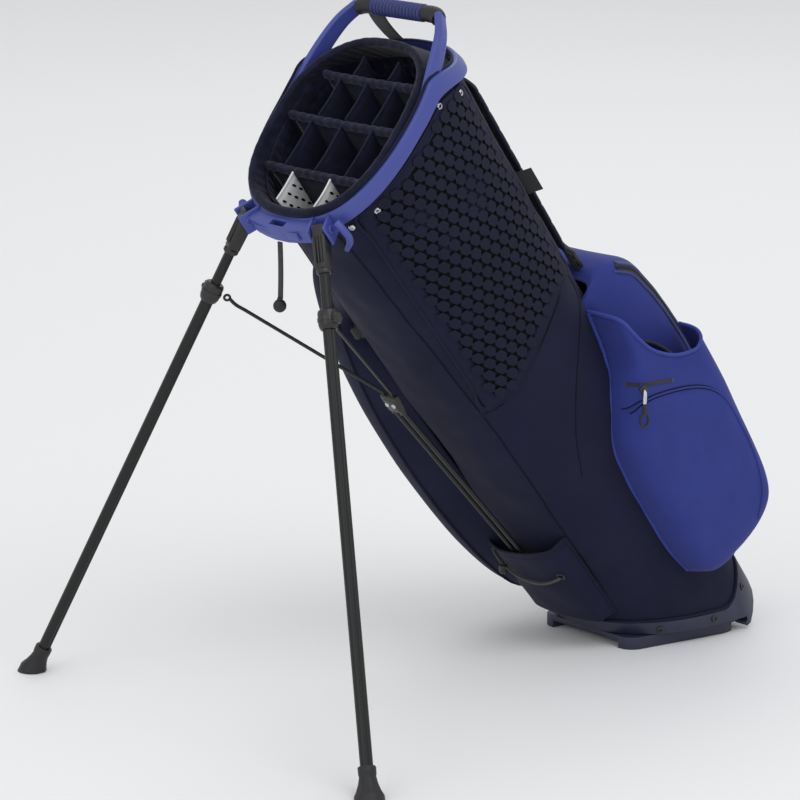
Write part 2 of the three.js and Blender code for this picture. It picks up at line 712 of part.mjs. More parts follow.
function addSpreader() {
  for (const [name, side] of [["right", 1], ["left", -1]]) {
    const { start, end, bendPoint } = wireRoute(name, side);
    const near = start.clone().lerp(bendPoint, 0.5);
    const after = start.clone().lerp(bendPoint, 0.93);
    const points = [start, near, after, bendPoint, end].map((point) => point.toArray());
    add(bag, `spreader_wire_${name}`, sweep(circle(wireRadius, 8), points, 24), finish.black);
    const low = new THREE.Vector3(side * rodHalfSpacing, 0, rodLowEnd);
    const high = new THREE.Vector3(side * rodHalfSpacing, joiner.y, joiner.z - joinerSize.z / 2 - 2 * gap);
    low.y = high.y + rodLean * (high.z - low.z);
    add(bag, `push_rod_${name}`, rod(low, high, rodRadius, 10), finish.black);
  }
  const plate = new THREE.ExtrudeGeometry(roundRect(joinerSize.x, joinerSize.z, 4), {
    depth: joinerSize.y,
    bevelEnabled: false,
  });
  plate.rotateX(Math.PI / 2).translate(joiner.x, joiner.y + joinerSize.y / 2, joiner.z);
  add(bag, "spreader_joiner", plate, finish.black);
}

// ---- Pockets and trim ----

function smoothOutline(points) {
  const curve = new THREE.CatmullRomCurve3(
    points.map(([y, z]) => new THREE.Vector3(y, z, 0)),
    true,
    "centripetal",
  );
  return new THREE.Shape(curve.getPoints(points.length * 3).slice(0, -1));
}

function addPockets() {
  const body = tubeSolid(trayProud + gap, -80, 960);
  const right = [[54, 476], [0, 400], [-17, 346], [-22, 280], [-16, 170], [-2, 126], [36, 104], [110, 100]];
  right.push([152, 142], [170, 200], [180, 300], [184, 380]);
  const outline = new THREE.Shape(right.map(([y, z]) => new THREE.Vector2(y, z)));
  const block = sideSlab(outline, 60, pocketOuter, 18);
  const well = rod(
    new THREE.Vector3(bottle.x, bottle.y, bottle.floor),
    new THREE.Vector3(bottle.x, bottle.y, 600),
    bottle.radius,
    24,
  );
  const backPlane = box([-backPocketHalfWidth - gap, 60, 0], [backPocketHalfWidth + gap, 260, 700]);
  add(bag, "pocket_right", cut(block, body, well, backPlane), finish.blue);

  const back = [[90, 522], [150, 518], [184, 476], [200, 400], [201, 250], [188, 160], [150, 104], [90, 92]];
  const backBlock = sideSlab(smoothOutline(back), -backPocketHalfWidth, backPocketHalfWidth, 8);
  add(bag, "pocket_back", cut(backBlock, body), finish.navy);

  const left = [[-60, 704], [-106, 684], [-134, 592], [-146, 500], [-150, 421], [-147, 360], [-134, 242]];
  left.push([-108, 150], [-60, 110], [40, 104], [84, 150], [90, 300], [84, 560], [40, 690]);
  const leftBlock = sideSlab(smoothOutline(left), -pocketOuter, -94, 18);
  const leftClear = box([-backPocketHalfWidth - gap, 60, 0], [backPocketHalfWidth + gap, 260, 700]);
  add(bag, "pocket_left", cut(leftBlock, body, leftClear), finish.navy);
}

// The apron is a fabric panel low on the leg side; the push rods slide behind it.

function apronSize(z) {
  const size = tubeSize(z);
  const t = (z - tubeLow) / (apronTop - tubeLow);
  return { halfWidth: size.halfWidth + 6, front: lerp(apronFront.low, apronFront.high, t), back: size.back };
}

function addApron() {
  const [from, to] = [degToRad(-128), degToRad(-56)];
  const plate = new THREE.BoxGeometry(apronThickness, to - from, 1, 1, 14, 1);
  plate.translate(-apronThickness / 2, (from + to) / 2, 0.5);
  bend(plate, (offset, angle, t) => {
    const { x, y } = onOval(apronSize(apronTop), angle, 0, 0);
    const high = apronTop + 0.16 * x;
    const low = trayRimLine(y) + 2;
    const z = lerp(low, high, t);
    return onOval(apronSize(z), angle, offset, z);
  });
  add(bag, "rod_apron", plate, finish.navy);

  add(bag, "bungee_cord", sweep(circle(bungeeRadius, 8), bungeePoints, 36), finish.black);
}

function addFrontTrim() {
  // A rubber rest that the folded left leg lies against.
  const rest = new THREE.CylinderGeometry(9, 11, 10, 20).rotateX(Math.PI);
  const restPlace = onTube(degToRad(-122), 0, 612);
  rest.translate(restPlace.x, restPlace.y - 6.5, restPlace.z);
  add(bag, "leg_rest", cut(rest, tubeSolid(gap, 500, 700)), finish.rubber);

  // The strap with a ball, hanging straight down from the bracket.
  const top = new THREE.Vector3(-8, hangTop.y, hangTop.z);
  const down = groundToBag(0, 0, -1);
  const strapLow = top.clone().addScaledVector(down, hangLength);
  const strap = box([-5, -0.8, -hangLength], [5, 0.8, 0]);
  strap.applyQuaternion(bagTurn.clone().invert()).translate(top.x, top.y, top.z);
  add(bag, "hang_strap", strap, finish.black);
  const ball = new THREE.SphereGeometry(8, 18, 12);
  const ballPlace = strapLow.clone().addScaledVector(down, 8 + gap);
  ball.translate(ballPlace.x, ballPlace.y, ballPlace.z);
  add(bag, "hang_strap_ball", ball, finish.rubber);
}

function addZips() {
  const x = pocketOuter + gap;
  const slider = box([x, zip.y - 5, zip.z - 9], [x + 4, zip.y + 5, zip.z + 5]);
  add(bag, "zip_slider", slider, finish.black);
  const pullTop = new THREE.Vector3(x + 4 + gap, zip.y, zip.z);
  const tape = box([0, -2.5, -26], [2.5, 2.5, 3]);
  const loop = new THREE.TorusGeometry(8, 2, 8, 20).rotateY(Math.PI / 2).translate(2, 0, -34);
  const pull = join(tape, loop);
  pull.applyQuaternion(bagTurn.clone().invert()).translate(pullTop.x, pullTop.y, pullTop.z);
  add(bag, "zip_pull", pull, finish.black);
}

function addStraps() {
  const strap = (from, to, low, high, thickness) =>
    tubePlate(from, to, gap, thickness, () => low, () => high, 4);
  add(bag, "shoulder_strap_right", strap(60, 83, 560, 830, strapThickness), finish.black);
  add(bag, "shoulder_strap_left", strap(97, 120, 560, 830, strapThickness), finish.black);
  const tag = box([0, -0.8, -17], [20, 0.8, 17]);
  tag.rotateZ(degToRad(spinePanelEdge - 12));
  const place = onTube(degToRad(spinePanelEdge), 1.2, 690);
  tag.translate(place.x, place.y, place.z);
  add(bag, "side_tag", tag, finish.black);
}

addPanels();
addCollar();
addCuff();
addGrip();
addDividers();
addStays();
addTray();
addFootPlate();
addLeg("right", 1);
addLeg("left", -1);
addSpreader();
addApron();
addFrontTrim();
addPockets();
addZips();
addStraps();

// The ground under the middle of the bounding box becomes the origin.
const golfStandBag = new THREE.Group();
golfStandBag.add(ground, bag);
golfStandBag.updateMatrixWorld(true);
const middle = new THREE.Box3().setFromObject(golfStandBag, true).getCenter(new THREE.Vector3());
golfStandBag.position.set(0, -middle.y, 0);

export default golfStandBag;
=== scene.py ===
# Golf stand bag: fabric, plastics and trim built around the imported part.
# Bag-frame numbers are millimetres: x to the right, y from the leg side to the spine, z up the bag.
import bpy
import bmesh
import json
from math import atan2, copysign, cos, exp, pi, radians, sin
from mathutils import Matrix, Vector, noise
from mathutils.bvhtree import BVHTree


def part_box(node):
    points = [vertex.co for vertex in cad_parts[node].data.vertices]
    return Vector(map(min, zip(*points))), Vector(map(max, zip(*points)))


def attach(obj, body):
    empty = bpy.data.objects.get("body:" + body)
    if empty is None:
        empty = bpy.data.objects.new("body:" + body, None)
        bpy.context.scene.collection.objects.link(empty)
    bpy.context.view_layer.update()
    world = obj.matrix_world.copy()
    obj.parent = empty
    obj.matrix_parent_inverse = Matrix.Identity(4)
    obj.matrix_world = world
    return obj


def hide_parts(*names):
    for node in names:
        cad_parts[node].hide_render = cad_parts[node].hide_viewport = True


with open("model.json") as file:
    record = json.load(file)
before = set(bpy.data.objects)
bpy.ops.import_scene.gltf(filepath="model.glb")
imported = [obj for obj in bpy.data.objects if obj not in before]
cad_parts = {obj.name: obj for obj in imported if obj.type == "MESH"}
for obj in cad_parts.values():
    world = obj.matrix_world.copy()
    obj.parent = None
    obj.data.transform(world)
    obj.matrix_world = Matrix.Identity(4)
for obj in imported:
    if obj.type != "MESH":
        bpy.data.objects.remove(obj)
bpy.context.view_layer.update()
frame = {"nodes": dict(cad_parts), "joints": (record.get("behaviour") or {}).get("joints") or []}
print("frame loaded")

joints = {joint["name"]: joint for joint in frame["joints"]}
lean = radians(joints["base_hinge"]["range_deg"][1])
hingePlace = Vector(joints["base_hinge"]["pos_m"])
millimetre = 0.001
hingeAhead = 45 * millimetre  # from the bag's axis at ground level back to the base hinge
groundFrame = Matrix.Translation((0, hingePlace.y - hingeAhead, 0)) @ Matrix.Scale(millimetre, 4)
bagFrame = groundFrame @ Matrix.Rotation(lean, 4, "X")
wallDown = Vector((0, -sin(lean), -cos(lean)))  # straight down, in the bag's frame

# Camera, light and floor
studio = {
    "cameraPlace": (3.6116, -3.1107, 1.4052),
    "cameraLook": (-0.74935, 0.62525, -0.21802),
    "lens": 179.55,
    "floorSize": 30,
    "floorColor": (0.87, 0.87, 0.87, 1),
    "worldColor": (0.92, 0.93, 0.95, 1),
    "worldStrength": 0.80,
}


def addLamp(name, place, aim, size, power):
    lamp = bpy.data.lights.new(name, "AREA")
    lamp.shape = "DISK"
    lamp.size = size
    lamp.energy = power
    holder = bpy.data.objects.new(name, lamp)
    bpy.context.scene.collection.objects.link(holder)
    holder.location = place
    holder.rotation_euler = (Vector(aim) - Vector(place)).to_track_quat("-Z", "Y").to_euler()


def addStudio():
    scene = bpy.context.scene
    scene.view_settings.view_transform = "Standard"
    camera = bpy.data.cameras.new("camera")
    camera.lens = studio["lens"]
    camera.sensor_width = 36
    camera.clip_end = 100
    holder = bpy.data.objects.new("camera", camera)
    scene.collection.objects.link(holder)
    holder.location = studio["cameraPlace"]
    holder.rotation_euler = Vector(studio["cameraLook"]).to_track_quat("-Z", "Y").to_euler()
    scene.camera = holder
    addLamp("keyLight", (3.4, -0.6, 5.2), (0, 0, 0.45), 4.2, 84)
    addLamp("fillLight", (1.2, -5.2, 3.0), (0, 0, 0.5), 3.8, 38)
    addLamp("rimLight", (-3.2, 3.4, 4.4), (0, 0.1, 0.6), 3.4, 36)
    world = bpy.data.worlds.new("studioWorld")
    scene.world = world
    world.use_nodes = True
    world.node_tree.nodes["Background"].inputs["Color"].default_value = studio["worldColor"]
    world.node_tree.nodes["Background"].inputs["Strength"].default_value = studio["worldStrength"]
    mesh = bmesh.new()
    bmesh.ops.create_grid(mesh, x_segments=2, y_segments=2, size=studio["floorSize"] / 2)
    data = bpy.data.meshes.new("studioFloor")
    mesh.to_mesh(data)
    mesh.free()
    floor = bpy.data.objects.new("studioFloor", data)
    scene.collection.objects.link(floor)
    paint = bpy.data.materials.new("floorPaint")
    paint.use_nodes = True
    shader = paint.node_tree.nodes["Principled BSDF"]
    shader.inputs["Base Color"].default_value = studio["floorColor"]
    shader.inputs["Roughness"].default_value = 0.9
    data.materials.append(paint)


addStudio()

# Finishes


def newGroup(name, inputs, outputs):
    group = bpy.data.node_groups.new(name, "ShaderNodeTree")
    for label, kind, value in inputs:
        socket = group.interface.new_socket(label, in_out="INPUT", socket_type=kind)
        if value is not None:
            socket.default_value = value
    for label, kind in outputs:
        group.interface.new_socket(label, in_out="OUTPUT", socket_type=kind)
    return group, group.nodes.new("NodeGroupInput"), group.nodes.new("NodeGroupOutput")


def addNode(tree, kind, settings=(), values=(), links=()):
    node = tree.nodes.new(kind)
    for name, value in dict(settings).items():
        setattr(node, name, value)
    for name, value in dict(values).items():
        node.inputs[name].default_value = value
    for name, source in dict(links).items():
        tree.links.new(source, node.inputs[name])
    return node


def mathNode(tree, operation, first, second):
    node = tree.nodes.new("ShaderNodeMath")
    node.operation = operation
    for index, value in enumerate((first, second)):
        if isinstance(value, (int, float)):
            node.inputs[index].default_value = value
        else:
            tree.links.new(value, node.inputs[index])
    return node.outputs[0]


def mixColors(tree, factor, first, second):
    node = tree.nodes.new("ShaderNodeMix")
    node.data_type = "RGBA"
    for socket, value in ((node.inputs[0], factor), (node.inputs[6], first), (node.inputs[7], second)):
        if isinstance(value, (int, float, tuple)):
            socket.default_value = value
        else:
            tree.links.new(value, socket)
    return node.outputs[2]


def makeWeave():
    inputs = [("Vector", "NodeSocketVector", None), ("Threads", "NodeSocketFloat", 900.0)]
    group, start, end = newGroup("plainWeave", inputs,
                                 [("Height", "NodeSocketFloat"), ("Shade", "NodeSocketFloat")])
    waves = []
    for direction in "XZ":
        settings = {"wave_type": "BANDS", "bands_direction": direction}
        links = {"Vector": start.outputs["Vector"], "Scale": start.outputs["Threads"]}
        values = {"Distortion": 0.0}
        waves.append(addNode(group, "ShaderNodeTexWave", settings, values, links).outputs["Fac"])
    height = mathNode(group, "MULTIPLY", waves[0], waves[1])
    slubs = addNode(group, "ShaderNodeTexNoise", {}, {"Scale": 260.0, "Detail": 3.0},
                    {"Vector": start.outputs["Vector"]})
    shade = mathNode(group, "ADD", mathNode(group, "MULTIPLY", height, 0.5),
                     mathNode(group, "MULTIPLY", slubs.outputs["Fac"], 0.5))
    group.links.new(height, end.inputs["Height"])
    group.links.new(shade, end.inputs["Shade"])
    return group


def makeMottle():
    inputs = [("Vector", "NodeSocketVector", None), ("Scale", "NodeSocketFloat", 12.0),
              ("Contrast", "NodeSocketFloat", 0.5)]
    group, start, end = newGroup("softMottle", inputs, [("Mask", "NodeSocketFloat")])
    links = {"Vector": start.outputs["Vector"], "Scale": start.outputs["Scale"]}
    cloud = addNode(group, "ShaderNodeTexNoise", {}, {"Detail": 5.0, "Roughness": 0.6},
                    links).outputs["Fac"]
    centred = mathNode(group, "SUBTRACT", cloud, 0.5)
    mask = mathNode(group, "ADD", mathNode(group, "MULTIPLY", centred, start.outputs["Contrast"]), 0.5)
    group.links.new(mask, end.inputs["Mask"])
    return group


def makeWear():
    inputs = [("Vector", "NodeSocketVector", None), ("Amount", "NodeSocketFloat", 0.5)]
    group, start, end = newGroup("edgeWear", inputs, [("Mask", "NodeSocketFloat")])
    ridge = addNode(group, "ShaderNodeNewGeometry").outputs["Pointiness"]
    sharp = mathNode(group, "MULTIPLY", mathNode(group, "SUBTRACT", ridge, 0.52), 9.0)
    scuffs = addNode(group, "ShaderNodeTexNoise", {}, {"Scale": 90.0, "Detail": 6.0},
                     {"Vector": start.outputs["Vector"]})
    spotted = mathNode(group, "MULTIPLY", sharp, scuffs.outputs["Fac"])
    node = mathNode(group, "MULTIPLY", spotted, start.outputs["Amount"])
    low = mathNode(group, "MAXIMUM", node, 0.0)
    group.links.new(mathNode(group, "MINIMUM", low, 1.0), end.inputs["Mask"])
    return group


weaveGroup, mottleGroup, wearGroup = makeWeave(), makeMottle(), makeWear()


def startMaterial(name, roughness, metallic=0.0, **extra):
    material = bpy.data.materials.new(name)
    material.use_nodes = True
    tree = material.node_tree
    shader = tree.nodes["Principled BSDF"]
    shader.inputs["Roughness"].default_value = roughness
    shader.inputs["Metallic"].default_value = metallic
    for label, value in extra.items():
        shader.inputs[label].default_value = value
    place = addNode(tree, "ShaderNodeTexCoord").outputs["Object"]
    turned = addNode(tree, "ShaderNodeMapping", {}, {"Rotation": (-lean, 0, 0)}, {"Vector": place})
    return material, tree, shader, turned.outputs["Vector"]


def groupNode(tree, group, vector, **values):
    node = addNode(tree, "ShaderNodeGroup", {"node_tree": group}, values)
    tree.links.new(vector, node.inputs["Vector"])
    return node


def bumpOf(tree, shader, height, strength, distance):
    bump = addNode(tree, "ShaderNodeBump", {}, {"Strength": strength, "Distance": distance},
                   {"Height": height})
    tree.links.new(bump.outputs["Normal"], shader.inputs["Normal"])


def fabric(name, dark, light, threads=390.0, sheen=0.04, bump=0.22, roughness=0.8):
    extra = {"Sheen Weight": sheen, "Sheen Roughness": 0.45, "Specular IOR Level": 0.16}
    material, tree, shader, vector = startMaterial(name, roughness, 0.0, **extra)
    weave = groupNode(tree, weaveGroup, vector, Threads=threads)
    mottle = groupNode(tree, mottleGroup, vector, Scale=14.0, Contrast=1.3)
    base = mixColors(tree, mottle.outputs["Mask"], dark, light)
    shaded = mixColors(tree, mathNode(tree, "MULTIPLY", weave.outputs["Shade"], 0.35), base, light)
    tree.links.new(shaded, shader.inputs["Base Color"])
    rough = mathNode(tree, "ADD", mathNode(tree, "MULTIPLY", weave.outputs["Shade"], 0.16),
                     roughness - 0.08)
    tree.links.new(rough, shader.inputs["Roughness"])
    bumpOf(tree, shader, weave.outputs["Height"], bump, 0.0004)
    return material


def pile(name, dark, light):
    extra = {"Sheen Weight": 0.14, "Sheen Roughness": 0.4, "Specular IOR Level": 0.2}
    material, tree, shader, vector = startMaterial(name, 0.9, 0.0, **extra)
    mottle = groupNode(tree, mottleGroup, vector, Scale=60.0, Contrast=2.2)
    nap = addNode(tree, "ShaderNodeTexNoise", {}, {"Scale": 1400.0, "Detail": 3.0}, {"Vector": vector})
    mask = mathNode(tree, "MULTIPLY", mottle.outputs["Mask"], nap.outputs["Fac"])
    tree.links.new(mixColors(tree, mathNode(tree, "MULTIPLY", mask, 2.0), dark, light),
                   shader.inputs["Base Color"])
    tree.links.new(mathNode(tree, "ADD", mathNode(tree, "MULTIPLY", nap.outputs["Fac"], 0.2), 0.75),
                   shader.inputs["Roughness"])
    bumpOf(tree, shader, nap.outputs["Fac"], 0.5, 0.0006)
    return material


def plastic(name, dark, light, roughness=0.42, grain=500.0, bump=0.12, wear=0.6):
    material, tree, shader, vector = startMaterial(name, roughness, 0.0)
    worn = groupNode(tree, wearGroup, vector, Amount=wear)
    mottle = groupNode(tree, mottleGroup, vector, Scale=25.0, Contrast=0.8)
    base = mixColors(tree, mathNode(tree, "MULTIPLY", mottle.outputs["Mask"], 0.25), dark, light)
    tree.links.new(mixColors(tree, worn.outputs["Mask"], base, light), shader.inputs["Base Color"])
    pebbles = addNode(tree, "ShaderNodeTexVoronoi", {}, {"Scale": grain}, {"Vector": vector})
    rough = mathNode(tree, "ADD", mathNode(tree, "MULTIPLY", mottle.outputs["Mask"], 0.14),
                     roughness - 0.07)
    tree.links.new(rough, shader.inputs["Roughness"])
    bumpOf(tree, shader, pebbles.outputs["Distance"], bump, 0.0003)
    return material


def metal(name, dark, light, roughness, metallic):
    material, tree, shader, vector = startMaterial(name, roughness, metallic)
    stretched = addNode(tree, "ShaderNodeMapping", {}, {"Scale": (900.0, 900.0, 12.0)}, {"Vector": vector})
    brushed = addNode(tree, "ShaderNodeTexNoise", {}, {"Scale": 1.0, "Detail": 3.0},
                      {"Vector": stretched.outputs["Vector"]})
    worn = groupNode(tree, wearGroup, vector, Amount=0.8)
    base = mixColors(tree, brushed.outputs["Fac"], dark, light)
    tree.links.new(mixColors(tree, worn.outputs["Mask"], base, light), shader.inputs["Base Color"])
    rough = mathNode(tree, "ADD", mathNode(tree, "MULTIPLY", brushed.outputs["Fac"], 0.18),
                     roughness - 0.09)
    tree.links.new(rough, shader.inputs["Roughness"])
    bumpOf(tree, shader, brushed.outputs["Fac"], 0.08, 0.0002)
    return material


def webbing(name, dark, light):
    material, tree, shader, vector = startMaterial(name, 0.8, 0.0, **{"Sheen Weight": 0.2})
    settings = {"wave_type": "BANDS", "bands_direction": "DIAGONAL"}
    ribs = addNode(tree, "ShaderNodeTexWave", settings, {"Scale": 420.0, "Distortion": 0.8},
                   {"Vector": vector})
    tree.links.new(mixColors(tree, ribs.outputs["Fac"], dark, light), shader.inputs["Base Color"])
    mottle = groupNode(tree, mottleGroup, vector, Scale=40.0, Contrast=0.6)
    tree.links.new(mathNode(tree, "ADD", mathNode(tree, "MULTIPLY", mottle.outputs["Mask"], 0.2), 0.65),
                   shader.inputs["Roughness"])
    bumpOf(tree, shader, ribs.outputs["Fac"], 0.5, 0.0005)
    return material


finish = {
    "navyCloth": fabric("navyCloth", (0.0056, 0.0062, 0.0205, 1), (0.0118, 0.0128, 0.0390, 1)),
    "navyPad": fabric("navyPad", (0.0055, 0.0063, 0.0165, 1), (0.0115, 0.0128, 0.0340, 1), 420.0, 0.06),
    "blueCloth": fabric("blueCloth", (0.020, 0.029, 0.172, 1), (0.034, 0.049, 0.252, 1), 380.0, 0.08),
    "bluePiping": fabric("bluePiping", (0.030, 0.043, 0.25, 1), (0.048, 0.068, 0.33, 1), 520.0, 0.1),
    # painted shade: a near-black finish for the shade in the gaps between hexagon cells and in the white
    # mesh's openings
    "shadeBacking": fabric("shadeBacking", (0.0012, 0.0013, 0.0022, 1), (0.003, 0.0032, 0.005, 1), 500.0, 0.0),
    # pile: the cloth's own dark navy, darkened further as painted shade for the inside of the bag
    "velour": pile("velour", (0.0026, 0.0032, 0.0100, 1), (0.0110, 0.0130, 0.0400, 1)),
    "whiteMesh": fabric("whiteMesh", (0.58, 0.58, 0.60, 1), (0.80, 0.80, 0.81, 1), 480.0, 0.05, 0.25, 0.7),
    "bluePlastic": plastic("bluePlastic", (0.041, 0.058, 0.275, 1), (0.078, 0.102, 0.390, 1), 0.40),
    "blueRubber": plastic("blueRubber", (0.018, 0.026, 0.130, 1), (0.036, 0.048, 0.190, 1), 0.55, 900.0),
    "blackRubber": plastic("blackRubber", (0.007, 0.007, 0.008, 1), (0.022, 0.022, 0.024, 1), 0.55, 700.0),
    "blackPlastic": plastic("blackPlastic", (0.009, 0.009, 0.009, 1), (0.032, 0.031, 0.030, 1), 0.38,
                            450.0),
    "basePlastic": plastic("basePlastic", (0.016, 0.018, 0.044, 1), (0.034, 0.037, 0.082, 1), 0.5, 420.0,
                           0.2),
    "legMetal": metal("legMetal", (0.009, 0.0092, 0.0095, 1), (0.024, 0.0245, 0.025, 1), 0.38, 0.5),
    "blackWire": metal("blackWire", (0.008, 0.008, 0.009, 1), (0.022, 0.022, 0.024, 1), 0.4, 0.3),
    "steel": metal("steel", (0.42, 0.43, 0.44, 1), (0.70, 0.71, 0.72, 1), 0.28, 1.0),
    "webbing": webbing("webbing", (0.004, 0.004, 0.005, 1), (0.015, 0.015, 0.018, 1)),
    "whiteCord": webbing("whiteCord", (0.55, 0.56, 0.58, 1), (0.80, 0.80, 0.82, 1)),
    "seamThread": fabric("seamThread", (0.002, 0.0024, 0.007, 1), (0.005, 0.0056, 0.014, 1), 600.0, 0.0),
    "cordCover": webbing("cordCover", (0.008, 0.008, 0.007, 1), (0.040, 0.040, 0.036, 1)),
}
print("finishes made")

# Making and placing pieces


def addPiece(name, mesh, surface, stands=(), body="bag", place=bagFrame, sharp=42, wall=0.0,
             rounding=0.0):
    # Lengths are in the units of the frame that place brings to metres.
    bmesh.ops.transform(mesh, matrix=place, verts=mesh.verts)
    data = bpy.data.meshes.new(name)
    mesh.to_mesh(data)
    mesh.free()
    data.polygons.foreach_set("use_smooth", [True] * len(data.polygons))
    data.set_sharp_from_angle(angle=radians(sharp))
    data.materials.append(finish[surface])
    piece = bpy.data.objects.new(name, data)
    bpy.context.scene.collection.objects.link(piece)
    if wall:
        solidify = piece.modifiers.new("wall", "SOLIDIFY")
        solidify.thickness = wall * millimetre
        solidify.offset = -1
    if rounding:
        bevel = piece.modifiers.new("rounding", "BEVEL")
        bevel.width = rounding * millimetre
        bevel.segments = 2
        bevel.limit_method = "ANGLE"
    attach(piece, body)
    if stands:
        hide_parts(*([stands] if isinstance(stands, str) else stands))
    return piece


def gridOf(columns, rows, place, closed=False, inside=None):
    # A grid bent into a sheet: place takes shares from 0 to 1 across and up.
    mesh = bmesh.new()
    bmesh.ops.create_grid(mesh, x_segments=columns, y_segments=rows, size=0.5)
    for vertex in mesh.verts:
        vertex.co = place(vertex.co.x + 0.5, vertex.co.y + 0.5)
    if closed:
        bmesh.ops.remove_doubles(mesh, verts=mesh.verts, dist=1e-3)
    faceOut(mesh, inside)
    return mesh


def closeEnds(mesh):
    bmesh.ops.holes_fill(mesh, edges=[edge for edge in mesh.edges if edge.is_boundary])
    bmesh.ops.recalc_face_normals(mesh, faces=mesh.faces)


def faceOut(mesh, inside=None):
    # Turns a sheet's faces away from a point, or from the bag's axis.
    total = 0.0
    mesh.normal_update()
    for face in mesh.faces:
        middle = face.calc_center_median()
        away = middle - inside if inside else Vector((middle.x, middle.y + 10, 0))
        total += away.dot(face.normal) * face.calc_area()
    if total < 0:
        bmesh.ops.reverse_faces(mesh, faces=mesh.faces)


def merge(parts):
    whole = bmesh.new()
    for part in parts:
        data = bpy.data.meshes.new("part")
        part.to_mesh(data)
        part.free()
        whole.from_mesh(data)
        bpy.data.meshes.remove(data)
    return whole


def barAlong(points, radius, sides=8, steps=6, cyclic=False, radii=None):
    curve = bpy.data.curves.new("path", "CURVE")
    curve.dimensions = "3D"
    curve.bevel_depth = radius
    curve.bevel_resolution = max(sides // 2 - 2, 0)
    curve.resolution_u = steps
    curve.use_fill_caps = not cyclic
    spline = curve.splines.new("BEZIER")
    spline.bezier_points.add(len(points) - 1)
    for i, (knot, point) in enumerate(zip(spline.bezier_points, points)):
        knot.co = point
        knot.handle_left_type = knot.handle_right_type = "AUTO"
        if radii:
            knot.radius = radii[i]
    spline.use_cyclic_u = cyclic
    holder = bpy.data.objects.new("path", curve)
    bpy.context.scene.collection.objects.link(holder)
    data = bpy.data.meshes.new_from_object(holder)
    mesh = bmesh.new()
    mesh.from_mesh(data)
    bpy.data.objects.remove(holder)
    bpy.data.curves.remove(curve)
    bpy.data.meshes.remove(data)
    bmesh.ops.remove_doubles(mesh, verts=mesh.verts, dist=1e-4)
    bmesh.ops.recalc_face_normals(mesh, faces=mesh.faces)
    return mesh


def lathe(profile, steps=32, place=Matrix.Identity(4)):
    # profile holds (radius, height) pairs about the z axis; a closed profile ends where it starts.
    mesh = bmesh.new()
    verts = [mesh.verts.new((radius, 0, height)) for radius, height in profile]
    edges = [mesh.edges.new(pair) for pair in zip(verts, verts[1:])]
    bmesh.ops.spin(mesh, geom=verts + edges, cent=(0, 0, 0), axis=(0, 0, 1), angle=2 * pi, steps=steps,
                   use_merge=True)
    bmesh.ops.remove_doubles(mesh, verts=mesh.verts, dist=1e-4)
    bmesh.ops.recalc_face_normals(mesh, faces=mesh.faces)
    bmesh.ops.transform(mesh, matrix=place, verts=mesh.verts)
    return mesh


def blockOf(low, high, bevel=0.0, segments=3, cuts=()):
    # A box between two corners; cuts holds (axis, value) planes that split its faces.
    mesh = bmesh.new()
    bmesh.ops.create_cube(mesh, size=1)
    low, high = Vector(low), Vector(high)
    size = high - low
    bmesh.ops.scale(mesh, vec=size, verts=mesh.verts)
    bmesh.ops.translate(mesh, vec=(low + high) / 2, verts=mesh.verts)
    if bevel:
        bmesh.ops.bevel(mesh, geom=mesh.edges[:], offset=bevel, segments=segments, profile=0.5,
                        affect="EDGES", material=-1, clamp_overlap=True)
    for axis, value in cuts:
        middle, normal = Vector((0, 0, 0)), Vector((0, 0, 0))
        middle[axis], normal[axis] = value, 1
        geom = mesh.verts[:] + mesh.edges[:] + mesh.faces[:]
        bmesh.ops.bisect_plane(mesh, geom=geom, plane_co=middle, plane_no=normal)
    return mesh


def turnTo(direction, place=(0, 0, 0)):
    # A frame whose z axis points along a direction.
    turn = Vector(direction).to_track_quat("Z", "Y").to_matrix().to_4x4()
    return Matrix.Translation(place) @ turn


def moved(mesh, matrix):
    bmesh.ops.transform(mesh, matrix=matrix, verts=mesh.verts)
    return mesh


def bump(value, centre, width):
    return exp(-((value - centre) / width) ** 2)


def smoothStep(value, low, high):
    share = min(max((value - low) / (high - low), 0), 1)
    return share * share * (3 - 2 * share)


def lineAt(points, share):
    # A smooth line through points, read at a share of its length in steps.
    span = share * (len(points) - 1)
    i = min(int(span), len(points) - 2)
    t = span - i
    p1, p2 = Vector(points[i]), Vector(points[i + 1])
    p0 = Vector(points[i - 1]) if i else p1 * 2 - p2
    p3 = Vector(points[i + 2]) if i + 2 < len(points) else p2 * 2 - p1
    first, second = (p2 - p0) / 2, (p3 - p1) / 2
    return (p1 * (2 * t ** 3 - 3 * t ** 2 + 1) + first * (t ** 3 - 2 * t ** 2 + t)
            + p2 * (3 * t ** 2 - 2 * t ** 3) + second * (t ** 3 - t ** 2))


def evenly(points, pitch, fine=40):
    # Places and directions at an even pitch along a smooth line.
    dense = [lineAt(points, i / (fine * (len(points) - 1))) for i in range(fine * (len(points) - 1) + 1)]
    places, carried = [], pitch / 2
    for a, b in zip(dense, dense[1:]):
        length = (b - a).length
        while carried <= length and length > 0:
            places.append((a.lerp(b, carried / length), (b - a).normalized()))
            carried += pitch
        carried -= length
    return places


def pressOn(tree, points, lift=0.0):
    # Moves points onto the nearest skin and stands them off it.
    placed = []
    for point in points:
        hit, normal, _, _ = tree.find_nearest(Vector(point))
        placed.append(hit + normal * lift)
    return placed


def stitchRow(tree, points, pitch=4.2, length=2.6, thick=0.45, lift=0.25):
    parts = []
    for place, along in evenly(points, pitch):
        hit, normal, _, _ = tree.find_nearest(place)
        side = normal.cross(along).normalized()
        turn = Matrix((side, along, normal)).transposed().to_4x4()
        stitch = bmesh.new()
        bmesh.ops.create_uvsphere(stitch, u_segments=6, v_segments=4, radius=1)
        bmesh.ops.scale(stitch, vec=(thick, length / 2, thick), verts=stitch.verts)
        parts.append(moved(stitch, Matrix.Translation(hit + normal * lift) @ turn))
    return merge(parts)


